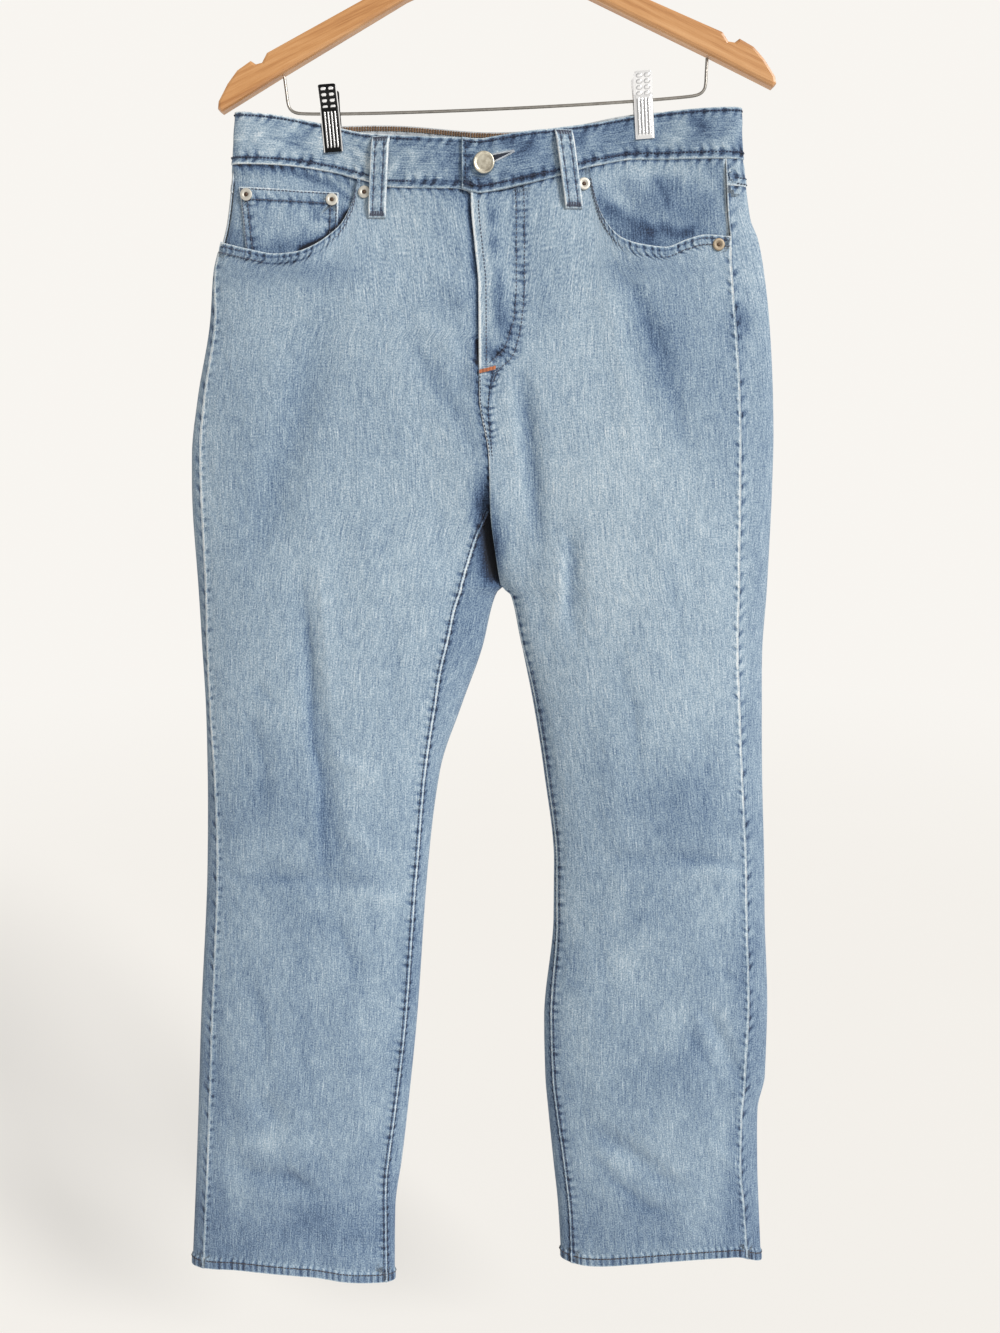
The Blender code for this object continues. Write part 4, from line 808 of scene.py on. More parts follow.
backWash = (
    (-120, -430, 70, 80, 0.06), (120, -430, 70, 80, 0.06), (-150, -600, 80, 40, -0.09),
    (150, -600, 80, 40, -0.09), (-170, -850, 70, 60, -0.08), (165, -850, 70, 60, -0.08),
    (-190, -1200, 100, 50, -0.08), (170, -1200, 90, 50, -0.08), (-6, -480, 16, 90, -0.10),
    (-120, -700, 60, 80, 0.05), (130, -700, 60, 80, 0.05),
)


def washAndShadeTone(points, onBack):
    # soft patches of wash and painted shade, a slow deepening towards the hems, painted shade in the hollows of
    # the folds and painted light on their ridges
    x, z = points[..., 0], points[..., 2]
    patches = {}
    for name, rows in (("front", frontWashAndShade), ("back", backWash)):
        uneven = 0.022 + 0.030 * smooth((-650 - z) / 250)
        total = uneven * (latticeNoise(x, z, 34.0, 52.0, 51) + latticeNoise(x, z, 13.0, 26.0, 52))
        for px, pz, width, height, amount in rows:
            total = total + amount * spot(x, z, px, pz, width, height)
        patches[name] = total
    paintedFoldShadeAndLight = [foldDepth(folds, x, z) * 0.035 + np.clip(creaseDepth(creases, x, z), -0.5, 2) * 0.11
               for folds, creases in ((frontFolds, frontCreases), (backFolds, backCreases))]
    tone = np.where(onBack, patches["back"] - paintedFoldShadeAndLight[1], patches["front"] - paintedFoldShadeAndLight[0])
    # darker towards the legs' outer sides; over the hems darker still, partly dye and partly painted shade
    sides = np.where(x > 0, smooth((x - 222) / 10), smooth((-x - 245) / 8)) * smooth((-330 - z) / 30)
    return tone - 0.10 * smooth((-560 - z) / 500) - 0.09 * smooth((-1150 - z) / 60) - 0.09 * sides


# fronts
front = {
    "step": 3.9, "mouthHem": 8.5, "mouthHemLift": 0.75, "mouthRows": (2.9, 7.9), "flyOverlap": 8.0, "flyLift": 1.6,
    "flyDrop": 0.7, "flyEdgeRow": 6.6, "risePuckersEnd": -474.0, "hollow": 9.0, "gape": {left: 2.2, right: 1.5},
    "bulge": 3.5, "outseamRidge": 0.75, "outseamWidth": 2.6, "inseamFell": 0.65, "inseamWidth": 3.8,
    "mouths": {
        left: ((-106, -262), (-109, -274), (-113, -284), (-119, -295), (-128, -304), (-141, -313),
               (-156, -318.5), (-172, -319.5), (-196, -315), (-221, -308)),
        right: ((84, -253), (88, -270), (92, -283), (99, -296), (110, -307), (126, -312.5),
                (146, -314.5), (164, -308), (180, -304), (199, -305)),
    },
}


def flyShare(v):
    return smooth((v - cut["flyEnd"]) / (cut["flyLapEnd"] - cut["flyEnd"]))


def crotchHollow(x, v):
    # the left side falls back beside the crotch seam, where the right leg laps over it
    reach = smooth((-498 - v) / 40) * smooth((v - cut["split"]) / 7)
    return front["hollow"] * reach * bell(np.abs(x - centre.read("x", v)), 9.0)


def partedAt(side):
    # below this height the front ends at the inseam
    return cut["crotchSeam"] if side == left else cut["split"]


def lapWidth(v):
    # how far the left front runs on under the fly
    return front["flyOverlap"] * smooth((v - cut["flyLapEnd"]) / 14)


def frontStart(side, v):
    # x of the front panel's centre or inseam edge
    inner = innerX(side, v)
    inset = inners[side].read("inseamInset", v) + cut["gap"]
    lap = lapWidth(v) if side == left else 0.0
    return np.where(v <= partedAt(side), inner + side * inset, inner + side * cut["gap"] / 2 + lap)


def outseamX(side, v):
    return outlines[side].read("outer", v) - side * outlines[side].read("outseamInset", v)


def frontSpan(side, v):
    # where the front panel starts and how wide it is
    start = frontStart(side, v)
    return start, outseamX(side, v) - side * cut["gap"] / 2 - start


def frontLift(side, x, v):
    # the right fly edge stands over the left panel, which dips under it
    fromEdge = x - innerX(side, v)
    if side == left:
        return -front["flyDrop"] * flyShare(v) * smooth((fromEdge + 16) / 14)
    return front["flyLift"] * flyShare(v) * smooth((30 - fromEdge) / 20)


def hemLift(v, run):
    # the turned-up hem stands proud, with small uneven ropes across it
    step = smooth((cut["hem"] + cut["hemHeight"] + 0.6 - v) / 1.2)
    return step * (cut["hemLift"] + 0.28 * latticeNoise(run, v, 4.6, 30.0, 77) * smooth((v - cut["hem"]) / 3))


def hemMarks(grid, v):
    # puckers over the hem, and the tone of the pale strip on its top
    over = v - cut["hem"] - cut["hemHeight"]
    grid.puckeredSeam(np.where(over < 0, 2.7, over + 3.0), grid.fromStart * 1.4)
    return 0.17 * bell(over - 0.2, 1.5)


def riseWidth(v):
    # from the crotch seam's edge to its second row, wide at the foot of the fly
    return 3.2 + 8.4 * np.clip((v + 476) / 62, 0, 1) ** 1.2


def curvePoints(points, count):
    # a smooth curve through points, at even steps along it
    points = np.array(points, float)
    along = measured(points)
    curve = Table("s x z", *(tuple(row) for row in np.column_stack([along, points])))
    s = count if isinstance(count, np.ndarray) else np.linspace(0, along[-1], count)
    return curve.read("x", s), curve.read("z", s), s


def legRows():
    hem = cut["hem"]
    rows = spaced(cut["pocketRow"], hem + cut["hemHeight"] + 1.2, front["step"])
    edge = hem + np.array([cut["hemHeight"] + 0.3, cut["hemHeight"] - 0.6, 8.4, 6.2, 4.2, 2.6, 1.6, 0.8, 0.35, 0.0])
    return np.concatenate([rows, edge])


def mouthLine(side):
    # shares of the panel's width and nominal heights along the pocket mouth
    ends = np.array(front["mouths"][side], float)
    total = lengthOf(np.diff(ends, axis=0)).sum()
    x, z, _ = curvePoints(ends, spaced(0, total, 3.4, False, True))
    v = nominalHeight(x, z)
    start, end = frontStart(side, v), outseamX(side, v)
    share = np.clip((x - start) / (end - start), 0, 1)
    share[-1] = 1.0
    v[0] = cut["panelTop"]
    return np.maximum.accumulate(share), v


# the fly's curved outer row, and the inner one beside it
flyPath = ((30.0, -256), (31.0, -300), (31.0, -345), (29.0, -372), (26.0, -388), (21.0, -402), (8.5, -414),
           (5.0, -423))
innerFlyPath = tuple((x - 6.6, z + (6.6 if z < -380 else 0)) for x, z in flyPath[:-1])


def pathDistance(x, z, points):
    # distance to a line through points, and how far along it the nearest place is
    points = np.array(points, float)
    best, along, start = np.full(x.shape, 1e9), np.zeros(x.shape), 0.0
    for a, b in zip(points, points[1:]):
        length = math.hypot(*(b - a))
        t = np.clip(((x - a[0]) * (b - a)[0] + (z - a[1]) * (b - a)[1]) / length**2, 0, 1)
        away = np.hypot(x - a[0] - t * (b - a)[0], z - a[1] - t * (b - a)[1])
        along = np.where(away < best, start + t * length, along)
        best = np.minimum(best, away)
        start += length
    return best, along


def mouthForm(grid, side, v, first):
    # the pocket mouth's hem, ropes and gape from its first column on, and the waist seam beside it; gives the
    # distances to both
    number = np.arange(v.shape[1])
    atMouth = np.broadcast_to(number >= first, v.shape)
    fromMouth = np.where(atMouth, grid.fromTop, farAway)
    waistSeam = np.where(atMouth, farAway, grid.fromTop)
    step = smooth((front["mouthHem"] + 0.7 - fromMouth) / 1.4)
    ropes = 0.22 * latticeNoise(grid.fromStart, fromMouth, 4.2, 30.0, 31) * smooth(fromMouth / 2.5)
    grid.lift += step * (front["mouthHemLift"] + ropes)
    grid.foldedEdge(fromMouth)
    for row in front["mouthRows"]:
        grid.puckeredSeam(np.abs(fromMouth - row) * 1.7 + 0.3, grid.fromStart * 1.5)
    run = np.clip((number - first - 1) / (v.shape[1] - first - 1), 0, 1)
    gape = bell(run - 0.45, 0.22) * (run > 0)
    grid.lift += front["gape"][side] * gape * bell(fromMouth, 16.0)
    grid.lift -= 0.9 * bell(waistSeam, 4.0)
    grid.puckeredSeam(waistSeam, grid.fromStart)
    return fromMouth, waistSeam


def seamForm(grid, side, v):
    # the outseam's ridge and the felled inseam
    grid.lift += front["outseamRidge"] * bell(grid.fromEnd, front["outseamWidth"])
    grid.wornLine(grid.fromEnd * 0.8)
    grid.puckeredSeam(grid.fromEnd * 1.2 + 0.4, grid.fromTop + 300)
    parted = v <= partedAt(side)
    inseam = np.where(parted, grid.fromStart, farAway)
    grid.lift += front["inseamFell"] * smooth((front["inseamWidth"] + 0.6 - inseam) / 1.2) * parted
    grid.puckeredSeam(np.clip(inseam - 2.4, 0, None), grid.fromTop)
    grid.wornLine((inseam - 1.8) * 1.25)
    grid.lift += rolled(inseam + 0.15)


def lapForm(grid, x, z, v, rise):
    # on the right: the lap's folded edge, the fly's curved rows and the sewn rise below it; gives their tone, a
    # pale worn lap edge and painted shade along the fly's rows
    onFly = v > cut["flyEnd"]
    edgeRow = bell(rise - front["flyEdgeRow"], 1.0)
    shade = np.where(onFly, 0.13 * smooth((12.5 - rise) / 2.0)
                     - 0.22 * edgeRow * (0.7 + 0.5 * latticeNoise(rise, v, 9.0, 3.2, 57)), 0)
    grid.lift -= 0.4 * edgeRow * onFly
    around = smooth((-470 - v) / 60) * smooth((v + 680) / 60)
    grid.lift += front["bulge"] * around * bell(grid.fromStart - 6, 14.0)
    grid.lift += 0.7 * smooth((riseWidth(v) + 0.8 - rise) / 1.2) * smooth((cut["flyEnd"] + 6 - v) / 6)
    grid.foldedEdge(rise)
    grid.wornLine(np.where(onFly, np.clip(rise - 1.0, 0, None), farAway))
    puckered = (v < cut["flyEnd"]) & (v > front["risePuckersEnd"])
    grid.puckeredSeam(np.where(puckered, np.abs(rise - riseWidth(v)), farAway), grid.fromTop * 1.5)
    outerRow, run = pathDistance(x, z, flyPath)
    row = np.minimum(outerRow, pathDistance(x, z, innerFlyPath)[0])
    grid.puckeredSeam(row * 1.6 + 0.4, run * 1.4)
    grid.lift -= 0.35 * bell(row, 2.2)
    return shade - 0.10 * bell(row, 4.0) * (0.6 + 0.8 * latticeNoise(rise, v, 9.0, 16.0, 58))


def underlapForm(grid, v, rise):
    # on the left: the dip beside the lap; gives its shade
    onFly = v > cut["flyEnd"]
    beyond = np.clip(rise - lapWidth(v), 0, None)
    grid.lift -= 0.8 * bell(beyond, 5.0) * flyShare(v)
    grid.puckeredSeam(np.where(onFly, np.abs(rise - 1.0), rise * 1.5 + 1.5), grid.fromTop)
    uneven = 0.8 + 0.5 * latticeNoise(rise, v, 6.0, 9.0, 55)
    return -0.72 * bell(beyond, 2.8) * np.where(onFly, 1.0, 0.5) * uneven - 0.08 * np.exp(-beyond / 12.0)


def frontPanel(side):
    # columns from the centre to the outseam; the top edge is the waist seam and then the pocket mouth
    mouthShare, mouthV = mouthLine(side)
    width = abs(outseamX(side, -300.0) - innerX(side, -300.0))
    centreShare = spaced(0, float(mouthShare[0]) * width, front["step"], True)[:-1] / width
    first = len(centreShare)
    shares = np.concatenate([centreShare, mouthShare])
    top = np.concatenate([np.full(first, cut["panelTop"]), mouthV])
    height = top - cut["pocketRow"]
    tight = np.array([0.0, 0.35, 0.8, 1.6, 3.4, 5.6])[:, None]
    rest = np.linspace(0, 1, 24)[1:-1, None]
    drop = np.concatenate([tight + 0 * height, 7.6 + (height - 7.6) * rest])
    v = np.concatenate([top - drop, np.repeat(legRows()[:, None], len(shares), 1)])
    start, span = frontSpan(side, v)
    x = start + span * shares
    base, out = frontAt(x, v)
    if side == left:
        base[..., 1] += crotchHollow(x, v)
    grid = Grid(base, out)
    lift = frontLift(side, x, v)
    grid.lift += lift
    fromMouth, waistSeam = mouthForm(grid, side, v, first)
    grid.lift += hemLift(v, grid.fromStart + 50 * side)
    shade = hemMarks(grid, v) + 0.10 * bell(grid.fromEnd, 1.3)
    grid.foldedEdge(grid.fromBottom)
    seamForm(grid, side, v)
    rise = np.where(v > partedAt(side), grid.fromStart, farAway)
    if side == right:
        shade += lapForm(grid, base[..., 0], base[..., 2], v, rise)
    else:
        shade += underlapForm(grid, v, rise)
    # painted shade under the waistband, uneven along it
    uneven = 0.7 + 0.6 * latticeNoise(grid.fromStart, v, 14.0, 9.0, 56)
    under = np.exp(-np.clip(waistSeam, 0, None) / 7.0) * uneven
    grid.tone = washAndShadeTone(base, False) + shade - 0.22 * under - 0.05 * smooth(9.2 - fromMouth)
    word = sideWords[side]
    addCloth(f"front_{word}_cloth", grid, cut["denim"], lift, [f"front_{word}_{item}" for item in stretches])


for side in (left, right):
    frontPanel(side)
print("fronts made")

# backs and yokes
seat = {"yokeSide": -266.0, "yokeCentre": -322.0, "fell": 7.5, "fellLift": 0.6, "fellRows": (1.6, 6.2)}


def yokeSeam(turn):
    share = (1 - np.cos(turn)) / 2
    return seat["yokeSide"] + (seat["yokeCentre"] - seat["yokeSide"]) * np.where(turn > math.pi, 1 - share, 0.0)


def seatTurns(count):
    # even steps over the width of the back, closer at the centre's edge
    share = np.linspace(0, 1, count)
    return math.pi + np.arccos(1 - 2 * (share * 0.94 + 0.03 + 0.03 * np.sin((share - 0.5) * math.pi)))


sideTurnShares = np.linspace(0, 1, 12)
seatShares = (seatTurns(58) - math.pi) / math.pi
seatShares = np.unique(np.concatenate([[0.012, 0.03, 0.05], seatShares[seatShares > 0.06][:-1],
                                       [0.985, 0.993, 0.9975, 1.0]]))


def outseamTurn(side, v):
    return turnOf(side, outseamX(side, v) + side * cut["gap"] / 2, v)


def backTurns(side, v):
    # turns from the outseam over the outer fold and the seat to the centre, for each height
    start = outseamTurn(side, v)
    columns = np.concatenate([sideTurnShares, 1 + seatShares])[None, :]
    return np.where(columns <= 1, start + (math.pi - start) * columns, math.pi * columns)


seamTurns = np.concatenate([np.zeros(len(sideTurnShares)), math.pi * (1 + seatShares)])
seamHeights = np.where(seamTurns == 0, seat["yokeSide"], yokeSeam(seamTurns))


def sideSink(distance):
    # the left side seam lies as deep as the pocket facing that it meets
    return 3.2 * smooth((9.0 - distance) / 9.0)


def felledEdge(grid, distance, run):
    # a seam whose allowance is sewn down as a raised strip
    grid.lift += seat["fellLift"] * smooth((seat["fell"] - distance) / 1.2)
    grid.foldedEdge(distance)
    grid.puckeredSeam(np.abs(distance - seat["fell"]), run)


def yokePanel(side):
    down = spaced(0, 1, 0.07)[:, None]
    v = cut["panelTop"] * (1 - down) + (seamHeights + cut["gap"] / 2) * down
    base, out = clothAt(side, backTurns(side, v), v)
    grid = Grid(base, out)
    grid.lift -= 0.9 * bell(grid.fromTop, 4.0)
    grid.puckeredSeam(grid.fromTop, grid.fromStart)
    felledEdge(grid, grid.fromBottom, grid.fromStart)
    if side == right:
        grid.wornLine(grid.fromStart * 1.5)
        grid.puckeredSeam(grid.fromStart + 0.2, grid.fromTop)
    else:
        grid.lift -= sideSink(grid.fromStart) * smooth(grid.fromTop / 12)
    grid.puckeredSeam(grid.fromEnd, grid.fromTop)
    grid.tone = washAndShadeTone(base, True)
    word = sideWords[side]
    addCloth(f"yoke_{word}_cloth", grid, cut["denim"], 0 * v, [f"yoke_{word}"])


def seatGrid(side, v):
    # from the outseam round the outer fold to the centre or the inner fold
    turn = backTurns(side, v)
    base, out = clothAt(side, turn, v)
    grid = Grid(base, out)
    grid.puckeredSeam(grid.fromTop, grid.fromStart)
    grid.lift += hemLift(v, grid.fromStart + 700)
    hemMark = hemMarks(grid, v)
    grid.foldedEdge(grid.fromBottom)
    grid.lift += front["outseamRidge"] * bell(grid.fromStart, front["outseamWidth"])
    shown = (v < -312) | (side == right)
    if side == left:
        grid.lift -= sideSink(grid.fromStart) * smooth((v + 314) / 8)
    grid.wornLine(np.where(shown, grid.fromStart * 1.5, farAway))
    grid.puckeredSeam(np.where(shown, grid.fromStart + 0.2, farAway), (grid.fromTop + 300) * 0.7)
    rise = np.where(v > cut["split"], grid.fromEnd, farAway)
    if side == right:
        felledEdge(grid, rise, grid.fromTop)
    else:
        grid.puckeredSeam(rise, grid.fromTop)
    grid.tone = washAndShadeTone(base, turn > math.pi) + hemMark
    return grid


def forkGrid(side, v):
    # from the inner fold to the inseam, on the front
    count = 13 if side == left else 8
    width = np.abs(outlines[side].read("outer", v) - innerX(side, v))
    reach = np.arccos(1 - 2 * inners[side].read("inseamInset", v) / width)
    turn = fullTurn + 1e-9 + reach * (np.linspace(0, 1, count) ** 0.8)[None, :]
    v = np.repeat(v, count, 1)
    base, out = clothAt(side, turn, v)
    if side == left:
        base[..., 1] += crotchHollow(base[..., 0], v)
    fork = Grid(base, out)
    fork.lift += hemLift(v, fork.fromStart + 900)
    fork.foldedEdge(fork.fromBottom)
    hemMark = hemMarks(fork, v)
    fork.puckeredSeam(fork.fromEnd * 2.5 + 1.0, fork.fromTop)
    # painted shade: the fork darker beside the crotch split and, on the left, higher up between the legs; also
    # darker at its inseam edge
    paintedCrotchShade = 0.5 * bell(base[..., 0] - 6, 9.0) * smooth((v + 600) / 20)
    shaded = 0.12 * smooth((v + 720) / 80) * (side == left)
    fork.tone = (washAndShadeTone(base, False) + hemMark - 0.16 * np.exp(-fork.fromEnd / 1.5) - 0.08
                 - paintedCrotchShade - shaded)
    return fork


def backPanel(side):
    # one grid from the yoke seam to the hem and a second from the inner fold to the inseam, on the front; on the
    # left the second reaches up to the crotch seam as the fork that shows between the legs
    rows = legRows()
    rows = np.insert(rows, np.searchsorted(-rows, -cut["split"]), cut["split"])
    top = seamHeights - cut["gap"] / 2
    tight = np.array([0.0, 0.35, 0.8, 1.6, 4.0, 7.5]) / 100
    down = np.concatenate([tight, np.linspace(0.11, 1, 24)[:-1]])[:, None]
    v = np.concatenate([top * (1 - down) + cut["pocketRow"] * down, np.repeat(rows[:, None], len(top), 1)])
    grid = seatGrid(side, v)
    splitRow = int(np.flatnonzero(rows == cut["split"])[0])
    firstRow = int(np.flatnonzero(rows <= cut["crotchSeam"])[0]) if side == left else splitRow
    fork = forkGrid(side, rows[firstRow:, None])
    fork.grain[..., 0] += grid.grain[-1, -1, 0]
    fork.grain[..., 1] += grid.grain[firstRow - len(rows), 0, 1]
    index = np.arange(v.size).reshape(v.shape)
    forkIndex = np.arange(fork.edge.size).reshape(fork.edge.shape) + v.size
    forkIndex[splitRow - firstRow:, 0] = index[splitRow - len(rows):, -1]
    kept, compact = np.unique(np.concatenate([gridQuads(index), gridQuads(forkIndex)]), return_inverse=True)
    faces = [np.concatenate([a.reshape(-1, 3), b.reshape(-1, 3)])[kept]
             for a, b in zip(grid.faces(cut["denim"], 0 * grid.edge), fork.faces(cut["denim"], 0 * fork.edge))]
    points, quads = closedWall(*faces, compact.reshape(-1, 4))
    values, forkValues = grid.values(), fork.values()
    joined = {key: np.concatenate([values[key], forkValues[key]])[kept] for key in values}
    word = sideWords[side]
    piece = addPiece(f"back_{word}_cloth", points, [quads], denim, bothFaces(joined), 60)
    for item in stretches:
        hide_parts(f"back_{word}_{item}")
    width, length = grid.size()
    width + fork.size()[0]
    grid.area() + fork.area()


for side in (left, right):
    yokePanel(side)
    backPanel(side)
print("backs and yokes made")

# waistband
band = {"flapEnd": -20.0, "underlapEnd": 22.0, "flapLift": 2.0, "underlapDrop": 0.7, "flapBlendEnd": 60.0,
        "underlapBlendStart": -46.0, "seamRow": 4.6, "topRow": 2.8,
        "dip": 6.0, "dipX": -135.0, "dipWidth": 42.0}


def bandLine():
    # sides, turns and lifts along the band: the flap over the right, round the back, to the end under the flap
    flapX = spaced(band["flapEnd"], 46.0, 3.0, True)
    underX = spaced(-54.0, band["underlapEnd"], 3.0)
    shares = np.concatenate([np.linspace(0.24, 0.985, 62), [0.991, 0.995, 0.998, 1.0]])
    roundSide = np.arccos(1 - 2 * shares)
    toCentre = fullTurn - np.arccos(1 - 2 * np.linspace(0.0, 0.228, 19))[::-1]
    rightTurn = np.concatenate([roundSide, fullTurn - roundSide[:-1][::-1], toCentre])
    leftTurn = rightTurn[::-1][1:]
    turnsAt = np.concatenate([flapX, underX])
    endSide = sideOf(turnsAt, cut["waistSeam"])
    endTurn = turnOf(endSide, turnsAt, cut["waistSeam"])
    keepRight = rightTurn > endTurn[len(flapX) - 1] + 0.02
    keepLeft = leftTurn > endTurn[len(flapX)] + 0.02
    rightTurn, leftTurn = rightTurn[keepRight], leftTurn[keepLeft]
    sides = np.concatenate([endSide[:len(flapX)], np.full(len(rightTurn), right), np.full(len(leftTurn), left),
                            endSide[len(flapX):]])
    turns = np.concatenate([endTurn[:len(flapX)], rightTurn, leftTurn, endTurn[len(flapX):]])
    flapLift = band["flapLift"] * smooth((band["flapBlendEnd"] - flapX) / (band["flapBlendEnd"] - 26))
    underLift = -band["underlapDrop"] * smooth((underX - band["underlapBlendStart"]) / 22.0)
    lifts = np.concatenate([flapLift, np.zeros(len(rightTurn) + len(leftTurn)), underLift])
    return sides, turns, lifts


bandSides, bandTurns, bandLifts = bandLine()
# creases across the band, each raised or sunk, with painted light on the raised ones and painted shade in the
# sunk ones: x z points, half width, tone
bandStrokes = (
    (((-104, -234), (-96, -240), (-87, -246)), 1.6, -0.30),
    (((-111, -238), (-104, -249), (-90, -259)), 1.8, -0.22),
    (((-172, -229), (-158, -232), (-147, -236)), 1.8, -0.18), (((-196, -226), (-178, -231)), 2.5, 0.10),
    (((-70, -256), (-66, -244)), 4.0, -0.24), (((-58, -238), (-54, -256)), 1.8, 0.12),
    (((-48, -232), (-42, -250)), 2.0, 0.12), (((-36, -240), (-32, -256)), 1.6, 0.10),
    (((-64, -234), (-60, -246)), 1.6, 0.12), (((24, -243), (36, -234)), 2.6, -0.16),
    (((12, -258), (30, -262), (46, -256)), 2.4, -0.14), (((76, -232), (84, -240)), 5.0, -0.18),
    (((120, -252), (121, -240)), 1.4, -0.22), (((131, -251), (131, -241)), 1.4, -0.20),
    (((139, -250), (140, -241)), 1.4, -0.24), (((148, -249), (148, -241)), 1.3, -0.18),
    (((155, -248), (156, -241)), 1.3, -0.16), (((168, -216), (176, -219)), 4.0, -0.24),
    (((100, -242), (122, -236), (150, -236)), 1.6, -0.14), (((-10, -262), (4, -265)), 2.0, -0.20),
)
bandRows = np.concatenate([cut["bandTop"] - np.array([0.0, 0.35, 0.8, 1.6]),
                           np.linspace(cut["bandTop"] - 3.4, cut["waistSeam"] + 3, 17),
                           cut["waistSeam"] + np.array([0.9, 0.1, -0.4, -0.8])])


def bandDip(base, turns, v):
    # the back of the band dips behind the left clip
    dip = band["dip"] * bell(base[..., 0] - band["dipX"], band["dipWidth"])
    return dip * (turns > math.pi) * np.clip((v - cut["waistSeam"]) / 38, 0, 1)


def strokeTone(x, z, strokes):
    return [amount * bell(pathDistance(x, z, points)[0], width) for points, width, amount in strokes]


def waistband():
    v = bandRows[:, None]
    base, out = clothAt(bandSides, bandTurns, v)
    base[..., 2] -= bandDip(base, bandTurns, v)
    grid = Grid(base, out, True)
    x, run, down = base[..., 0], grid.fromStart, grid.fromTop
    lean = run + 0.35 * down
    rumple = 0.8 * latticeNoise(lean, down, 15.0, 22.0, 41) + latticeNoise(lean, down, 6.5, 18.0, 42)
    inside = smooth(down / 7) * smooth(grid.fromBottom / 7)
    dips = bell(grid.fromBottom - band["seamRow"], 1.1) + bell(down - band["topRow"], 1.0)
    grid.lift = bandLifts[None, :] + 0.40 * inside * rumple - 0.22 * dips
    for edge in (down, grid.fromBottom, run):
        grid.foldedEdge(edge)
    grid.puckeredSeam(np.abs(grid.fromBottom - band["seamRow"]), run)
    grid.puckeredSeam(np.abs(down - band["topRow"]) + 1.0, run)
    grid.puckeredSeam(np.abs(run - 3.5) + 1.0, down)
    onFront = base[..., 1] < 0
    strokes = sum(tone * onFront for tone in strokeTone(x, base[..., 2], bandStrokes))
    grid.lift += strokes * 1.2
    # paler where the band rumples outwards: painted light on its ridges
    grid.tone = (strokes - 0.18 - 0.08 * bell(x - 20, 50) + 0.19 * smooth((-x - 10) / 120) * onFront
                 + 0.11 * rumple * inside - 0.07 * bell(x + 60, 22) * onFront
                 + 0.11 * latticeNoise(run, down, 26.0, 16.0, 43) + 0.09 * latticeNoise(run, down, 9.0, 7.0, 44))
    addCloth("waistband_cloth", grid, cut["bandCloth"], bandLifts[None, :] + 0 * v, ["waistband"])


waistband()
print("waistband made")

# pocket facings, coin pocket and back pockets
pockets = {
    "facingBottom": -345.0, "facingInner": {left: -93.0, right: 72.0}, "under": 2.0,
    "facingDepth": {left: 3.6, right: 2.3}, "atSeam": 1.0,
    "coinTop": ((-203.5, -265.0), (-121.5, -269.0)), "coinBottom": ((-197.0, -333.0), (-123.5, -333.0)),
    "backHalf": 68.0, "backNarrowing": 8.0, "backCorner": -488.0, "backPoint": -508.0, "backCentre": -6.5,
    "backOut": {left: 119.0, right: 127.0},
    "backSize": (136, 150), "coinSize": (82, 66),
}
# painted shade of folds, a few paler places, and the pocket mouth's painted shadow on the facings: x z points,
# half width, tone
facingStrokes = {
    left: (
        (((-208, -247), (-160, -252), (-128, -262), (-112, -274)), 2.6, -0.32),
        (((-150, -246), (-124, -253), (-108, -268)), 2.0, -0.24),
        (((-113, -287), (-119, -296), (-126, -303)), 4.4, -1.6),
        (((-126, -303), (-136, -309), (-152, -316)), 2.8, -1.2), (((-150, -315), (-175, -318)), 3.0, -0.30),
        (((-208, -258), (-170, -262)), 4.0, 0.12), (((-104, -262), (-108, -280)), 3.0, 0.10),
        (((-214, -290), (-218, -306)), 6.0, -0.16),
    ),
    right: (
        (((150, -270), (166, -276), (174, -284)), 15.0, -0.20),
        (((94, -277), (112, -288), (134, -300)), 5.5, -0.34),
        (((98, -288), (112, -302), (130, -308)), 8.0, -0.22),
        (((146, -298), (156, -304), (168, -300)), 5.0, -0.34),
        (((138, -258), (146, -268), (150, -280)), 3.0, -0.18), (((130, -252), (178, -250)), 9.0, 0.10),
        (((92, -256), (110, -266)), 8.0, 0.05), (((184, -262), (188, -284)), 6.0, 0.06),
    ),
}


def pocketFacing(side):
    down = np.concatenate([[0.0, 0.01, 0.03, 0.06], np.linspace(0.08, 1, 42)])[:, None]
    share = np.linspace(0, 1, 60)[None, :]
    start = pockets["facingInner"][side]
    bottomV = nominalHeight(np.array(start * 1.6), np.array(pockets["facingBottom"]))
    v = cut["panelTop"] * (1 - down) + bottomV * down
    end = outseamX(side, v) - side * cut["gap"] / 2
    x = start + (end - start) * share
    v = np.repeat(v, x.shape[1], 1)
    under = smooth(1 - (np.abs(x - start) - 16) / 14)
    atSeam = pockets["atSeam"] + (pockets["under"] - pockets["atSeam"]) * under
    sunk = smooth((cut["waistSeam"] - v) / 12)
    base, out = frontAt(x, v)
    grid = Grid(base, out)
    plain = -(atSeam + (pockets["facingDepth"][side] - atSeam) * sunk)
    if side == left:
        ridge, _ = pathDistance(base[..., 0], base[..., 2], ((-209, -252), (-162, -260), (-112, -283)))
        wave = 0.9 * bell(ridge, 5.0)
    else:
        wave = 0.9 * latticeNoise(x + 0.5 * v, v, 22.0, 14.0, 61) * smooth((cut["waistSeam"] - v) / 20)
    grid.lift = plain + wave
    grid.puckeredSeam(grid.fromTop, grid.fromStart)
    if side == right:
        grid.wornLine(grid.fromEnd * 0.8)
    x, z = base[..., 0], base[..., 2]
    # lower on the facing, painted shade below the pocket mouth
    grid.tone = -0.11 + 0.12 * latticeNoise(x + 0.5 * v, v, 15.0, 12.0, 62) - 0.16 * smooth((-290 - z) / 22)
    for tone in strokeTone(x, z, facingStrokes[side]):
        grid.tone += tone
    word = sideWords[side]
    addCloth(f"pocket_facing_{word}_cloth", grid, cut["denim"], plain, [f"pocket_facing_{word}"])


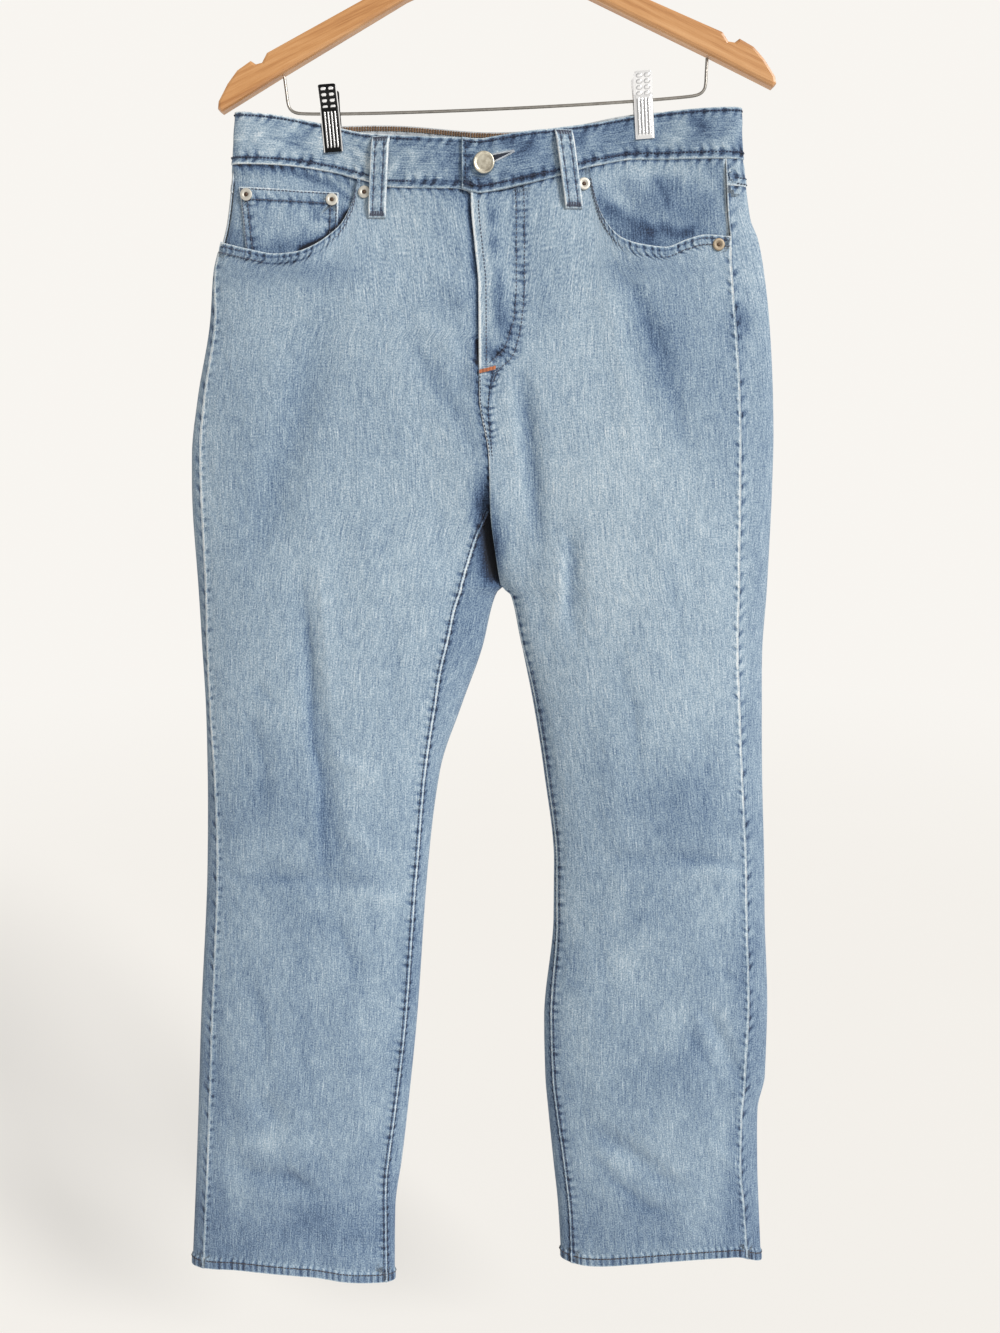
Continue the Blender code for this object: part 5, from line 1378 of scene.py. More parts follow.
def coinPlace(across, down):
    (ax, az), (bx, bz) = pockets["coinTop"]
    (cx, cz), (dx, dz) = pockets["coinBottom"]
    x = (ax + (bx - ax) * across) * (1 - down) + (cx + (dx - cx) * across) * down
    z = (az + (bz - az) * across) * (1 - down) + (cz + (dz - cz) * across) * down
    return x, z


def coinPocket():
    wide, tall = pockets["coinSize"]
    across = (spaced(0, wide, 2.8, True, True) / wide)[None, :]
    down = (spaced(0, tall, 2.8, True) / tall)[:, None]
    x, z = coinPlace(across, down)
    base, out = seenAt(x, z)
    grid = Grid(base, out)
    wave = 0.55 * latticeNoise(x, z, 24.0, 16.0, 71)
    grid.lift = -pockets["under"] + wave * smooth(grid.fromTop / 8) + 0.5 * smooth((10.6 - grid.fromTop) / 1.2)
    for edge in (grid.fromTop, grid.fromStart, grid.fromEnd):
        grid.foldedEdge(edge)
    grid.puckeredSeam(np.abs(grid.fromTop - 10.0) + 0.4, grid.fromStart)
    grid.puckeredSeam(np.abs(np.minimum(grid.fromStart, grid.fromEnd) - 6.2) + 0.6, grid.fromTop)
    x, z = base[..., 0], base[..., 2]
    # the mouth's shadow falls on the pocket too, and two dark marks lie on it
    grid.tone = (sum(strokeTone(x, z, facingStrokes[left][2:4])) - 0.07
                 + 0.08 * latticeNoise(x, z, 10.0, 8.0, 72) - 0.26 * smooth((-298 - z) / 18)
                 - 0.16 * spot(x, z, -136, -288, 12, 5) - 0.14 * spot(x, z, -192, -296, 10, 5))
    addCloth("coin_pocket_cloth", grid, cut["patch"], -pockets["under"] + 0 * x, ["coin_pocket"])


def backPocketPlace(side, across, down):
    # a pocket that narrows downwards and ends in a shallow point
    bottom = pockets["backCorner"] + (pockets["backPoint"] - pockets["backCorner"]) * (1 - np.abs(2 * across - 1))
    z = cut["pocketRow"] + (bottom - cut["pocketRow"]) * down
    fall = np.clip((cut["pocketRow"] - z) / (cut["pocketRow"] - pockets["backCorner"]), 0, 1)
    half = pockets["backHalf"] - pockets["backNarrowing"] * fall
    x = pockets["backCentre"] + side * (pockets["backOut"][side] - half * (2 * across - 1))
    return x, z


def onBack(side, x, z):
    return clothAt(side, turnOf(side, x, z, True), z)


def backPocket(side):
    wide, tall = pockets["backSize"]
    across = (spaced(0, wide, 3.2, True, True) / wide)[None, :]
    down = (spaced(0, tall, 3.2, True, True) / tall)[:, None]
    x, z = backPocketPlace(side, across, down)
    grid = Grid(*onBack(side, x, z))
    wave = 0.35 + 0.35 * latticeNoise(x, z, 30.0, 24.0, 81)
    hem = 0.6 * smooth((16.6 - grid.fromTop) / 1.2)
    seated = cut["gap"] + cut["patch"]
    grid.lift = seated + wave * smooth(grid.fromTop / 8) + hem
    for distance in (grid.fromTop, grid.fromBottom, grid.fromStart, grid.fromEnd):
        grid.foldedEdge(distance)
    grid.puckeredSeam(np.abs(grid.fromTop - 16.0), grid.fromStart)
    grid.puckeredSeam(np.abs(np.minimum(grid.fromStart, grid.fromEnd) - 4), grid.fromTop)
    grid.puckeredSeam(np.abs(grid.fromBottom - 4), grid.fromStart)
    grid.tone = washAndShadeTone(grid.base, True) + 0.05
    word = sideWords[side]
    addCloth(f"back_pocket_{word}_cloth", grid, cut["patch"] + 0.2, seated + 0 * x,
             [f"back_pocket_{word}"])


for side in (left, right):
    pocketFacing(side)
    backPocket(side)
coinPocket()
print("pockets made")

# belt loops
loops = {
    "width": 14.3, "length": 64, "cloth": 2.0, "standOff": 2.2, "row": 3.6,
    "places": (
        ("belt_loop_front_left", False, -85.0, -227.5, -89.5, -291.0),
        ("belt_loop_front_right", False, 62.0, -223.0, 71.5, -284.0),
        ("belt_loop_back_left", True, -161.0, -211.0, -161.0, -273.0),
        ("belt_loop_back", True, -12.5, -223.0, -11.5, -287.0),
        ("belt_loop_back_right", True, 163.0, -207.0, 163.0, -269.0),
    ),
}


def loopPlace(place, across, down):
    # across in millimetres from the loop's middle, down from 0 to 1
    _, back, topX, topZ, bottomX, bottomZ = place
    base, out = seenAt(topX + (bottomX - topX) * down + across, topZ + (bottomZ - topZ) * down, back)
    off = loops["standOff"] * smooth(down / 0.16) * smooth((1 - down) / 0.16)
    return base, out, cut["gap"] + off + 0 * across


def beltLoop(place):
    half = loops["width"] / 2
    rim = np.array([0.0, 0.3, 0.8])
    across = np.concatenate([rim - half, np.linspace(-half + 1.6, half - 1.6, 12), half - rim[::-1]])[None, :]
    down = (spaced(0, loops["length"], 1.9, True, True) / loops["length"])[:, None]
    base, out, inner = loopPlace(place, across, down)
    grid = Grid(base, out)
    fromRow = np.abs(np.abs(across) - loops["row"])
    groove = bell(fromRow, 0.8)
    side = smooth((np.abs(across) - 4.2) / 1.2)
    ends = smooth((3.5 - np.minimum(grid.fromTop, grid.fromBottom)) / 1.5)
    grid.lift = inner + loops["cloth"] + 0.30 * side - 0.45 * groove - 0.35 * ends
    for edge in (grid.fromStart, grid.fromEnd, grid.fromTop, grid.fromBottom):
        grid.foldedEdge(edge)
    grid.puckeredSeam(fromRow * 2.4 + 0.6 + 0 * down, grid.fromTop)
    worn = 0.6 + 0.4 * latticeNoise(grid.fromStart, grid.fromTop, 3.0, 9.0, 91)
    speckled = latticeNoise(across + 9, grid.fromTop, 5.0, 11.0, 92)
    # painted shade: darker in the rows' grooves, unevenly along them, and at the folded ends; worn here only varies
    # that shade
    grid.tone = 0.02 - 0.26 * groove * worn - 0.22 * ends + 0.12 * speckled
    addCloth(place[0] + "_cloth", grid, 1.7, inner + 1.7, [place[0]])


for place in loops["places"]:
    beltLoop(place)
print("belt loops made")

# stitches
stitch = {"pitch": 3.0, "length": 2.5, "radius": 0.40, "sides": 5, "wobble": 0.12, "skew": 0.10}
stitchRows = {key: [] for key in threads}


def addStitches(thread, base, out, lift, pitch=stitch["pitch"], length=stitch["length"], radius=stitch["radius"]):
    # stitches at even steps along a line on the cloth, each a short thread whose ends dive into it
    line = base + out * np.asarray(lift)[..., None]
    along = measured(line)
    count = max(1, int(along[-1] / pitch))
    at = (np.arange(count) + 0.5) * along[-1] / count
    pick = lambda data, where: np.stack([np.interp(where, along, data[:, i]) for i in range(3)], -1)
    here, normal = pick(line, at), pick(out, at)
    tangent = pick(line, at + 0.6) - pick(line, at - 0.6)
    tangent /= np.maximum(lengthOf(tangent), 1e-6)[:, None]
    beside = np.cross(normal, tangent)
    beside /= np.maximum(lengthOf(beside), 1e-6)[:, None]
    normal = np.cross(tangent, beside)
    random = np.random.default_rng(count).uniform(-1, 1, (count, 2))
    here = here + beside * (random[:, :1] * stitch["wobble"])
    rings = np.array([-1.0, -0.55, 0.55, 1.0]) * length / 2
    heights = np.array([-0.22, 0.16, 0.16, -0.22])
    radii = np.array([0.45, 1.0, 1.0, 0.45]) * radius
    angles = np.arange(stitch["sides"]) * fullTurn / stitch["sides"]
    ahead = tangent + beside * (stitch["skew"] * random[:, 1])[:, None]
    rings, heights, radii = (item[None, :, None, None] for item in (rings, heights, radii))
    here, ahead, beside, normal = (item[:, None, None, :] for item in (here, ahead, beside, normal))
    wide, high = (item[None, None, :, None] for item in (np.cos(angles), np.sin(angles)))
    points = here + ahead * rings + beside * (wide * radii * 1.15) + normal * (heights + high * radii)
    stitchRows[thread].append(points.reshape(count, -1, 3))


def finishStitches():
    sides = stitch["sides"]
    ring = np.arange(4 * sides).reshape(4, sides)
    ring = np.hstack([ring, ring[:, :1]])
    quads = gridQuads(ring)[:, ::-1]
    caps = np.stack([np.arange(sides), 3 * sides + np.arange(sides)[::-1]])
    for thread, groups in stitchRows.items():
        if groups:
            points = np.concatenate(groups)
            offset = (np.arange(len(points)) * 4 * sides)[:, None, None]
            faces = [(quads[None] + offset).reshape(-1, 4), (caps[None, :, ::-1] + offset).reshape(-1, sides)]
            addPiece(f"stitches_{thread}", points.reshape(-1, 3), faces, threads[thread])


def clothRow(side, turn, v, thread, lift, **more):
    addStitches(thread, *clothAt(side, turn, v), lift, **more)


def frontRow(x, v, thread, lift, **more):
    addStitches(thread, *frontAt(x, v), lift, **more)


def seenRow(x, z, thread, lift, **more):
    addStitches(thread, *seenAt(x, z), lift, **more)


hemRow = {"height": cut["hem"] + cut["hemHeight"] - 2.2,
          "thread": {"lift": cut["hemLift"], "length": 2.8, "radius": 0.55}}


def bandStitches():
    visible = slice(2, len(bandTurns) - 26)
    turns = bandTurns[visible]
    for v, bold in ((cut["waistSeam"] + band["seamRow"], 0.62), (cut["bandTop"] - band["topRow"], 0.5)):
        base, out = clothAt(bandSides[visible], turns, v)
        base[..., 2] -= bandDip(base, turns, v)
        addStitches("navy", base, out, bandLifts[visible] - 0.1, pitch=2.9, radius=bold)
    v = np.linspace(cut["bandTop"] - 3, cut["waistSeam"] + 4, 30)
    frontRow(np.full(30, band["flapEnd"] + 3.2), v, "navy", band["flapLift"])


def frontStitches(side):
    # two rows along the pocket mouth, the inseam's two rows, and the hem's row
    mouthShare, mouthV = mouthLine(side)
    for drop in front["mouthRows"]:
        v = mouthV - drop
        start, span = frontSpan(side, v)
        frontRow((start + span * mouthShare)[1:], v[1:], "grey", front["mouthHemLift"])
    v = np.arange(partedAt(side) - 2, cut["hem"] + 2, -2.0)
    for offset in (0.5, 3.5):
        frontRow(frontStart(side, v) + side * offset, v, "navy", front["inseamFell"] - 0.3, radius=0.34)
    v = np.full(120, hemRow["height"])
    start = frontStart(side, v)
    frontRow(start + (outseamX(side, v) - start) * np.linspace(0, 1, 120), v, "hem", **hemRow["thread"])


def flyStitches():
    v = np.arange(-250.0, cut["flyEnd"] + 4, -2.0)
    x = innerX(right, v) + front["flyEdgeRow"]
    frontRow(x, v, "grey", frontLift(right, x, v) - 0.2)
    for points in (flyPath, innerFlyPath):
        x, z, _ = curvePoints(points, 110)
        seenRow(x, z, "grey", frontLift(right, x, nominalHeight(x, z)) - 0.25)
    v = np.arange(cut["flyEnd"] - 3, cut["crotchSeam"] - 4, -2.0)
    for offset in (1.2, riseWidth(v)):
        frontRow(innerX(right, v) + offset, v, "navy", 0.55)
    # the bartack at the fly's foot
    x = np.linspace(-6.0, 7.4, 12)
    for number in range(5):
        seenRow(x, -411.4 - 0.55 * number + 0.26 * x, "orange", 1.5, pitch=2.4, length=3.0, radius=0.36)


def buttonhole():
    # two satin edges that close to a point, with a deep slit between them, filled with dark thread as painted shade
    t = np.linspace(0, 1, 30)
    x, z = 5.0 + 17.5 * t, -246.4 + 5.6 * t
    half = 2.5 * np.clip(1 - t * 1.08, 0, 1) ** 0.8 + 0.3
    for way in (-1, 1):
        seenRow(x - way * half * 0.3, z + way * half * 0.95, "pale", band["flapLift"] + 0.2,
                pitch=0.9, length=1.2, radius=0.75)
    for share in (-0.6, -0.3, 0.0, 0.3, 0.6):
        seenRow((x - share * half * 0.3)[:26], (z + share * half * 0.95)[:26], "slit", band["flapLift"] + 0.1,
                pitch=1.0, length=1.5, radius=0.55)


def chainStitches():
    # on the inner face of the back of the band, near its top
    for side, reach in ((left, 1.95), (right, 1.0)):
        turns = np.linspace(fullTurn - reach, fullTurn - 0.02, 120)
        base, out = clothAt(side, turns, cut["bandTop"] - 1.5)
        base[..., 2] -= bandDip(base, turns, cut["bandTop"])
        for down in (0.0, 1.2, 2.3):
            addStitches("brown", base - (0, 0, down), -out, cut["bandCloth"] + 0.1,
                        pitch=2.1, length=1.9, radius=0.6)


def backStitches(side):
    # the yoke's two rows, the hem's row, and the seat seam's two rows
    first = 14 if side == left else 3
    turn = backTurns(side, seamHeights[None, :])[0, first:]
    for rise in seat["fellRows"]:
        clothRow(side, turn, seamHeights[first:] + rise, "navy", seat["fellLift"])
    v = np.full(150, hemRow["height"])
    start = outseamTurn(side, v)
    end = fullTurn + turnOf(side, frontStart(side, v), v)
    clothRow(side, start + (end - start) * np.linspace(0, 1, 150), v, "hem", **hemRow["thread"])
    if side == right:
        v = np.arange(cut["waistSeam"] - 3, cut["split"] + 4, -2.0)
        for offset in seat["fellRows"]:
            addStitches("navy", *onBack(right, innerX(right, v) + offset, v), seat["fellLift"])


def backPocketStitches(side):
    # two rows that follow the outline, down one side, round the foot and up the other, and two along the hem
    def row(across, down, lift):
        addStitches("grey", *onBack(side, *backPocketPlace(side, across, down)), cut["gap"] + cut["patch"] + lift)

    wide, tall = pockets["backSize"]
    t, whole = np.linspace(0, 1, 90), np.ones(90)
    for offset in (1.8, 7.6):
        a, b = offset / wide, offset / tall
        row(np.concatenate([whole * a, a + (1 - 2 * a) * t, whole - a]),
            np.concatenate([t * (1 - b), whole - b, 1 - b - t * (1 - b)]), 0.5)
    for drop in (1.8, 14.6):
        row(np.linspace(0.02, 0.98, 80), np.full(80, drop / tall), 0.9)


def coinStitches():
    def row(across, down, lift):
        seenRow(*coinPlace(across, down), "grey", lift - pockets["under"])

    wide, tall = pockets["coinSize"]
    t, whole = np.linspace(0.0, 1.0, 60), np.ones(60)
    for offset in (1.5, 6.4):
        for across in (offset / wide, 1 - offset / wide):
            row(whole * across, 0.02 + t * 0.98, 0.25)
    for drop in (1.6, 9.6):
        row(0.01 + 0.98 * t, whole * (drop / tall), 0.55)


def loopStitches(place):
    def row(across, down, sunk, **more):
        base, out, inner = loopPlace(place, across, down)
        addStitches("grey", base, out, inner + loops["cloth"] - sunk, **more)

    for offset in (-loops["row"], loops["row"]):
        row(np.full(50, offset), np.linspace(0.03, 0.97, 50), 0.40)
    for end in (0.045, 0.955):
        for number in (-1.4, -0.7, 0.0, 0.7, 1.4):
            row(np.linspace(-6.4, 6.4, 12), np.full(12, end + number / loops["length"]), 0.25, pitch=2.0, length=2.2)


bandStitches()
flyStitches()
buttonhole()
chainStitches()
coinStitches()
for side in (left, right):
    frontStitches(side)
    backStitches(side)
    backPocketStitches(side)
for place in loops["places"]:
    loopStitches(place)
finishStitches()
print("stitches made")


# metal
def metalFinish(name, levels, roughness, tarnish=None, wear=0.25):
    made = Finish(name)
    place = made.objectPlace()
    patch = made.noise(place, 300.0, 3.0)
    fine = made.noise(place, 2200.0, 2.0) - 0.5
    deep = tarnish or tuple(level * 0.7 for level in levels)
    made.set(BaseColor=made.ramp(patch, (0.35, linear(*deep)), (0.65, linear(*levels))), Metallic=1.0,
             Roughness=patch * wear + roughness - wear * 0.5, Normal=made.bump(fine * 0.02))
    return made.material


def pressedFinish(name, plain, marked, roughness=0.22):
    # one level on the flats and another where the sheet is pressed
    made = Finish(name)
    colour = made.ramp(made.attribute("pressed"), (0.25, linear(*plain)), (0.75, linear(*marked)))
    made.set(BaseColor=colour, Metallic=0.55, Roughness=roughness)
    return made.material


metals = {
    "button": metalFinish("matt_nickel", (228, 222, 204), 0.42, (196, 188, 170)),
    "rivet": pressedFinish("rivet_nickel", (206, 202, 192), (84, 66, 54), 0.5),
    "dullRivet": pressedFinish("rivet_worn_brass", (150, 136, 116), (92, 74, 58), 0.55),
    "chrome": metalFinish("bright_chrome", (244, 245, 246), 0.14, (232, 233, 235), 0.06),
    # the left clip's near-black is a painted dark reflection on chrome, and its pressed marks are painted highlights
    "dark": metalFinish("dark_chrome", (36, 36, 38), 0.2, (20, 20, 22), 0.06),
    "darkPressed": pressedFinish("dark_chrome_pressed", (14, 14, 16), (250, 250, 250)),
    # the right clip's pressed marks are painted shade beside its ribs and round its domes
    "chromePressed": pressedFinish("bright_chrome_pressed_painted_shade", (248, 248, 249), (168, 169, 172)),
    "wire": metalFinish("wire_steel", (170, 166, 160), 0.38, (156, 152, 146), 0.06),
}


def turnedPiece(name, x, z, profile, finish, node, sides, centre=0.0):
    # a profile of radii and distances out, turned round the cloth's outward direction; centre is the radius
    # within which the pressed colour shows
    base, out = (item[0] for item in seenAt(np.array([x]), np.array([z])))
    across = np.cross(out, (0, 0, 1))
    across /= np.linalg.norm(across)
    upward = np.cross(across, out)
    radii, heights = np.array(profile, float).T
    angles = np.arange(sides) * fullTurn / sides
    ring = np.cos(angles)[:, None] * across + np.sin(angles)[:, None] * upward
    body = base + out * heights[1:-1, None, None] + ring[None] * radii[1:-1, None, None]
    points = np.concatenate([[base + out * heights[0]], body.reshape(-1, 3), [base + out * heights[-1]]])
    index = np.arange((len(radii) - 2) * sides).reshape(-1, sides) + 1
    closed = np.hstack([index, index[:, :1]])
    last = len(points) - 1
    top = np.stack([np.zeros(sides, int), closed[0, :-1], closed[0, 1:]], -1)
    foot = np.stack([np.full(sides, last), closed[-1, 1:], closed[-1, :-1]], -1)
    groups = [gridQuads(closed), top, foot]
    pressed = np.concatenate([[1.0], np.repeat(radii[1:-1] < centre, sides).astype(float), [0.0]])
    piece = addPiece(name, points, groups, finish, {"pressed": pressed}, 35)
    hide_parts(node)


def domed(radius, high, rim):
    # the edge of a disc, rounded from its top to its side
    angles = np.linspace(0, math.pi / 2, 6)[-2::-1]
    return [(radius - rim + rim * math.cos(a), high - rim + rim * math.sin(a)) for a in angles]


buttonPlace = {"x": -2.0, "z": -250.0, "radius": 8.6, "height": 3.4, "neck": 3.0}
seatLift = band["flapLift"] + cut["gap"]
topLift = seatLift + buttonPlace["height"]
r = buttonPlace["radius"]
turnedPiece("button_cap", buttonPlace["x"], buttonPlace["z"],
            [(0, topLift - 0.55), (r * 0.3, topLift - 0.56), (r * 0.62, topLift - 0.62), (r * 0.74, topLift - 0.66),
             (r * 0.79, topLift - 0.40), (r * 0.84, topLift - 0.10)] + domed(r, topLift, 1.1)
            + [(r, topLift - 2.0), (r * 0.9, seatLift + 0.9), (buttonPlace["neck"], seatLift + 0.7),
               (buttonPlace["neck"], seatLift), (0, seatLift)],
            metals["button"], "button", 64)
rivets = {
    "radius": 5.0, "height": 1.1, "seat": 0.5,
    "places": (("rivet_left", -100.0, -270.0, 0.0), ("rivet_right", 79.5, -264.0, 0.0),
               ("rivet_right_outer", 190.0, -312.0, 0.0), ("rivet_coin_outer", -197.0, -271.5, 2.0),
               ("rivet_coin_inner", -127.0, -275.0, 2.0)),
}
for name, x, z, sunk in rivets["places"]:
    low, r = rivets["seat"] - sunk, rivets["radius"]
    high = low + rivets["height"]
    turnedPiece(name + "_cap", x, z,
                [(0, high + 0.30), (0.7, high + 0.25), (1.2, high - 0.05), (1.5, high - 0.60), (2.1, high - 0.55),
                 (2.5, high - 0.15), (3.0, high)] + domed(r, high, 0.6) + [(r, low), (0, low)],
                metals["dullRivet" if name == "rivet_right_outer" else "rivet"], name, 32, 1.8)
print("button and rivets made")

# hanger
hanger = {
    "tilt": math.radians(2.4), "lean": math.radians(4.3), "clipX": {"left": -127.0, "right": 127.0},
    "clipWidth": 15.4, "clipLength": 50.0, "sheet": 0.9, "barDown": 20.0, "barWire": 1.2,
    "jaw": pinch + cut["gap"], "hookRadius": 19.0, "hookWire": 1.9, "dome": 0.75, "rib": 0.6,
    "hookFoot": -76.6, "hookBend": -57.0, "hookEnds": (math.radians(-50), math.radians(222)), "corner": 2.4,
    "domes": {"x": 3.1, "first": 3.4, "pitch": 4.1, "halfWidth": 2.4, "halfHeight": 1.45}, "ribPitch": 2.8,
    "bar": ((0.0, -205.0), (60.0, -204.7), (120.0, -203.6), (156.0, -202.2), (164.5, -201.0),
            (168.6, -197.8), (169.8, -193.0), (170.1, -186.0), (171.0, -173.8)),
}
clipProfile = Table("down away", (0.0, 7.6), (6.0, 6.2), (13.0, 3.9), (17.0, hanger["jaw"]), (46.0, hanger["jaw"]),
                    (hanger["clipLength"], hanger["jaw"] + 0.5))


def tilted(x, z):
    # points of the hanger's own upright plane, turned with the hanger
    c, s = math.cos(hanger["tilt"]), math.sin(hanger["tilt"])
    return np.stack([x * c - z * s, 0 * x, x * s + z * c], -1)


def rounded(points, times=2):
    # corners cut again and again, with the ends kept
    for _ in range(times):
        near, far = points[:-1] * 0.75 + points[1:] * 0.25, points[:-1] * 0.25 + points[1:] * 0.75
        inner = np.stack([near, far], 1).reshape(-1, points.shape[1])[1:-1]
        points = np.concatenate([points[:1], inner, points[-1:]])
    return points


def wirePiece(name, points, radius, node, sides=16):
    ahead = np.diff(points, axis=0)
    ahead /= lengthOf(ahead)[:, None]
    tangent = np.concatenate([ahead[:1], ahead[:-1] + ahead[1:], ahead[-1:]])
    tangent /= lengthOf(tangent)[:, None]
    level = np.array([0.0, 1.0, 0.0])
    upward = np.cross(tangent, level)
    angles = np.arange(sides) * fullTurn / sides
    ring = np.cos(angles)[None, :, None] * level + np.sin(angles)[None, :, None] * upward[:, None, :]
    index = np.arange(len(points) * sides).reshape(len(points), sides)
    closed = np.hstack([index, index[:, :1]])
    piece = addPiece(name, (points[:, None, :] + ring * radius).reshape(-1, 3),
                     [gridQuads(closed), index[:1], index[-1:, ::-1]], metals["wire"], None, 60)
    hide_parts(node)


def barLine():
    # the bar's bends, both halves of it
    half = np.array(hanger["bar"])
    return np.concatenate([half[:0:-1] * (-1, 1), half])


def barHeight(x):
    line = tilted(*barLine().T)
    return float(np.interp(x, line[:, 0], line[:, 2]))


def wires():
    wirePiece("hanger_bar_wire", tilted(*rounded(barLine()).T), hanger["barWire"], "hanger_bar")
    radius = hanger["hookRadius"] + hanger["hookWire"]
    middle, (join, tip) = -hanger["hookRadius"], hanger["hookEnds"]
    end = np.array([radius * math.cos(join), middle + radius * math.sin(join)])
    along = np.array([-math.sin(join), math.cos(join)])
    foot = np.array([0.0, hanger["hookBend"]])
    t = np.linspace(0, 1, 20)[:, None]
    bend = ((1 - t) ** 3 * foot + 3 * (1 - t) ** 2 * t * (foot + (0, 11.0))
            + 3 * (1 - t) * t**2 * (end - along * 11.0) + t**3 * end)
    angles = np.linspace(join, tip, 60)[1:]
    arc = np.stack([radius * np.cos(angles), middle + radius * np.sin(angles)], -1)
    line = np.concatenate([[(0.0, hanger["hookFoot"])], bend, arc])
    wirePiece("hanger_hook_wire", tilted(*line.T), hanger["hookWire"], "hanger_hook", 20)


def clipMarks(word, across, down):
    # how far the pressed domes, ribs and rim stand out, and how much of the marked colour shows; the marked
    # colour is painted highlight on the left clip and painted shade on the right
    half, length, domes, pitch = hanger["clipWidth"] / 2, hanger["clipLength"], hanger["domes"], hanger["ribPitch"]
    domeX = np.abs(np.abs(across) - domes["x"])
    step = (down - domes["first"]) / domes["pitch"]
    domeZ = np.abs(step - np.clip(np.round(step), 0, 3)) * domes["pitch"]
    oval = (domeX / domes["halfWidth"]) ** 2 + (domeZ / domes["halfHeight"]) ** 2
    dome = np.clip(1 - oval, 0, 1) ** 0.5
    ribX = np.abs(across - np.clip(np.round((across - pitch / 2) / pitch), -2, 1) * pitch - pitch / 2)
    ribbed = smooth((down - 18.5) / 1.5) * smooth((47.5 - down) / 1.5)
    rim = smooth((half - 0.9 - np.abs(across)) / 0.8) * smooth(down - 0.2) * smooth(length - 0.3 - down)
    rib = np.exp(-((ribX / 0.75) ** 4)) * ribbed
    raised = hanger["dome"] * dome + hanger["rib"] * rib - 0.35 + rim * 0.35
    # left: painted highlights on the ribs, the dome tops and the border; right: painted shade beside the ribs and
    # round the domes
    if word == "left":
        border = smooth((np.abs(across) + 0.9 - half) / 0.4)
        marked = np.exp(-((ribX / 0.5) ** 4)) * ribbed + 0.9 * (dome > 0.55) * (domeZ < 0.9) + border
    else:
        marked = bell(ribX - 1.1, 0.45) * ribbed + 0.7 * bell(oval - 1.0, 0.5)
    return raised, np.clip(marked, 0, 1)


def clipLeaf(word, way):
    # a bent strip with two rows of four pressed domes at the handle and four ribs down the jaw
    x = hanger["clipX"][word]
    middle = np.array([x, 0.0, barHeight(x)])
    c, s = math.cos(hanger["lean"]), math.sin(hanger["lean"])
    acrossWay, downWay, outward = np.array([[c, 0.0, s], [s, 0.0, -c], [0.0, way, 0.0]])
    half, length, corner = hanger["clipWidth"] / 2, hanger["clipLength"], hanger["corner"]
    share = np.concatenate([[-1, -0.97, -0.92], np.linspace(-0.86, 0.86, 41), [0.92, 0.97, 1]])[None, :]
    down = np.concatenate([[0, 0.3, 0.8], np.linspace(1.5, length - 1.0, 92), [length - 0.4, length]])[:, None]
    inset = corner - np.sqrt(np.clip(corner**2 - np.clip(corner - down, 0, None) ** 2, 0, None))
    across = share * (half - inset)
    away = clipProfile.read("away", down) + 0 * across
    raised, marked = clipMarks(word, across, down)
    place = middle + downWay * (down - hanger["barDown"])[..., None] + acrossWay * across[..., None]
    near, far = (place + outward * reach[..., None] for reach in (away, away + hanger["sheet"] + raised))
    index = np.arange(across.size).reshape(across.shape)
    points, faces = closedWall(far.reshape(-1, 3), near.reshape(-1, 3), gridQuads(index))
    side = "front" if way < 0 else "back"
    finish = metals["darkPressed" if word == "left" else "chromePressed"]
    piece = addPiece(f"clip_{word}_{side}_leaf", points, [faces], finish,
                     {"pressed": np.concatenate([marked.ravel(), 0 * marked.ravel()])}, 50)
    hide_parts(f"clip_{word}_{side}")


wires()
for word in hanger["clipX"]:
    for way in (-1, 1):
        clipLeaf(word, way)
print("wires and clips made")


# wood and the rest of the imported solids
def woodFinish():
    made = Finish("varnished_beech")
    place = made.objectPlace()
    x, y, z = made.parts(place)
    slope = z + (x * x + 0.0001) ** 0.5 * 0.45
    grain = made.noise(made.together(x * 9.0, y * 120.0, slope * 260.0), 1.0, 4.0, 0.6)
    flecks = made.noise(made.together(x * 70.0, y * 1100.0, slope * 1300.0), 1.0, 2.0, 0.6) - 0.5
    colour = made.ramp(grain + flecks * 0.35, (0.28, linear(166, 112, 64)), (0.5, linear(190, 137, 85)),
                       (0.75, linear(206, 157, 107)))
    made.set(BaseColor=colour, Roughness=0.38, CoatWeight=0.5, CoatRoughness=0.25,
             Normal=made.bump(flecks * 0.06 + grain * 0.05))
    return made.material


def tapeFinish():
    made = Finish("zip_tape_weave")
    place = made.objectPlace()
    _, _, z = made.parts(place)
    ribs = (z * 4200.0).sine()
    made.set(BaseColor=made.ramp(ribs * 0.5 + 0.5, (0.0, linear(88, 100, 116)), (1.0, linear(138, 146, 156))),
             Roughness=0.85, Normal=made.bump(ribs * 0.08))
    return made.material


finishes = {"hanger_wood": woodFinish(), "fly_zip": tapeFinish()}
for name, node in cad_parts.items():
    finish = finishes.get(name)
    # the left clip's solids get the chrome with the painted dark reflection
    if name.startswith("clip_left"):
        finish = metals["dark"]
    if name.startswith("clip_right"):
        finish = metals["chrome"]
    if finish:
        node.data.materials.clear()
        node.data.materials.append(finish)
print("hanger finished")

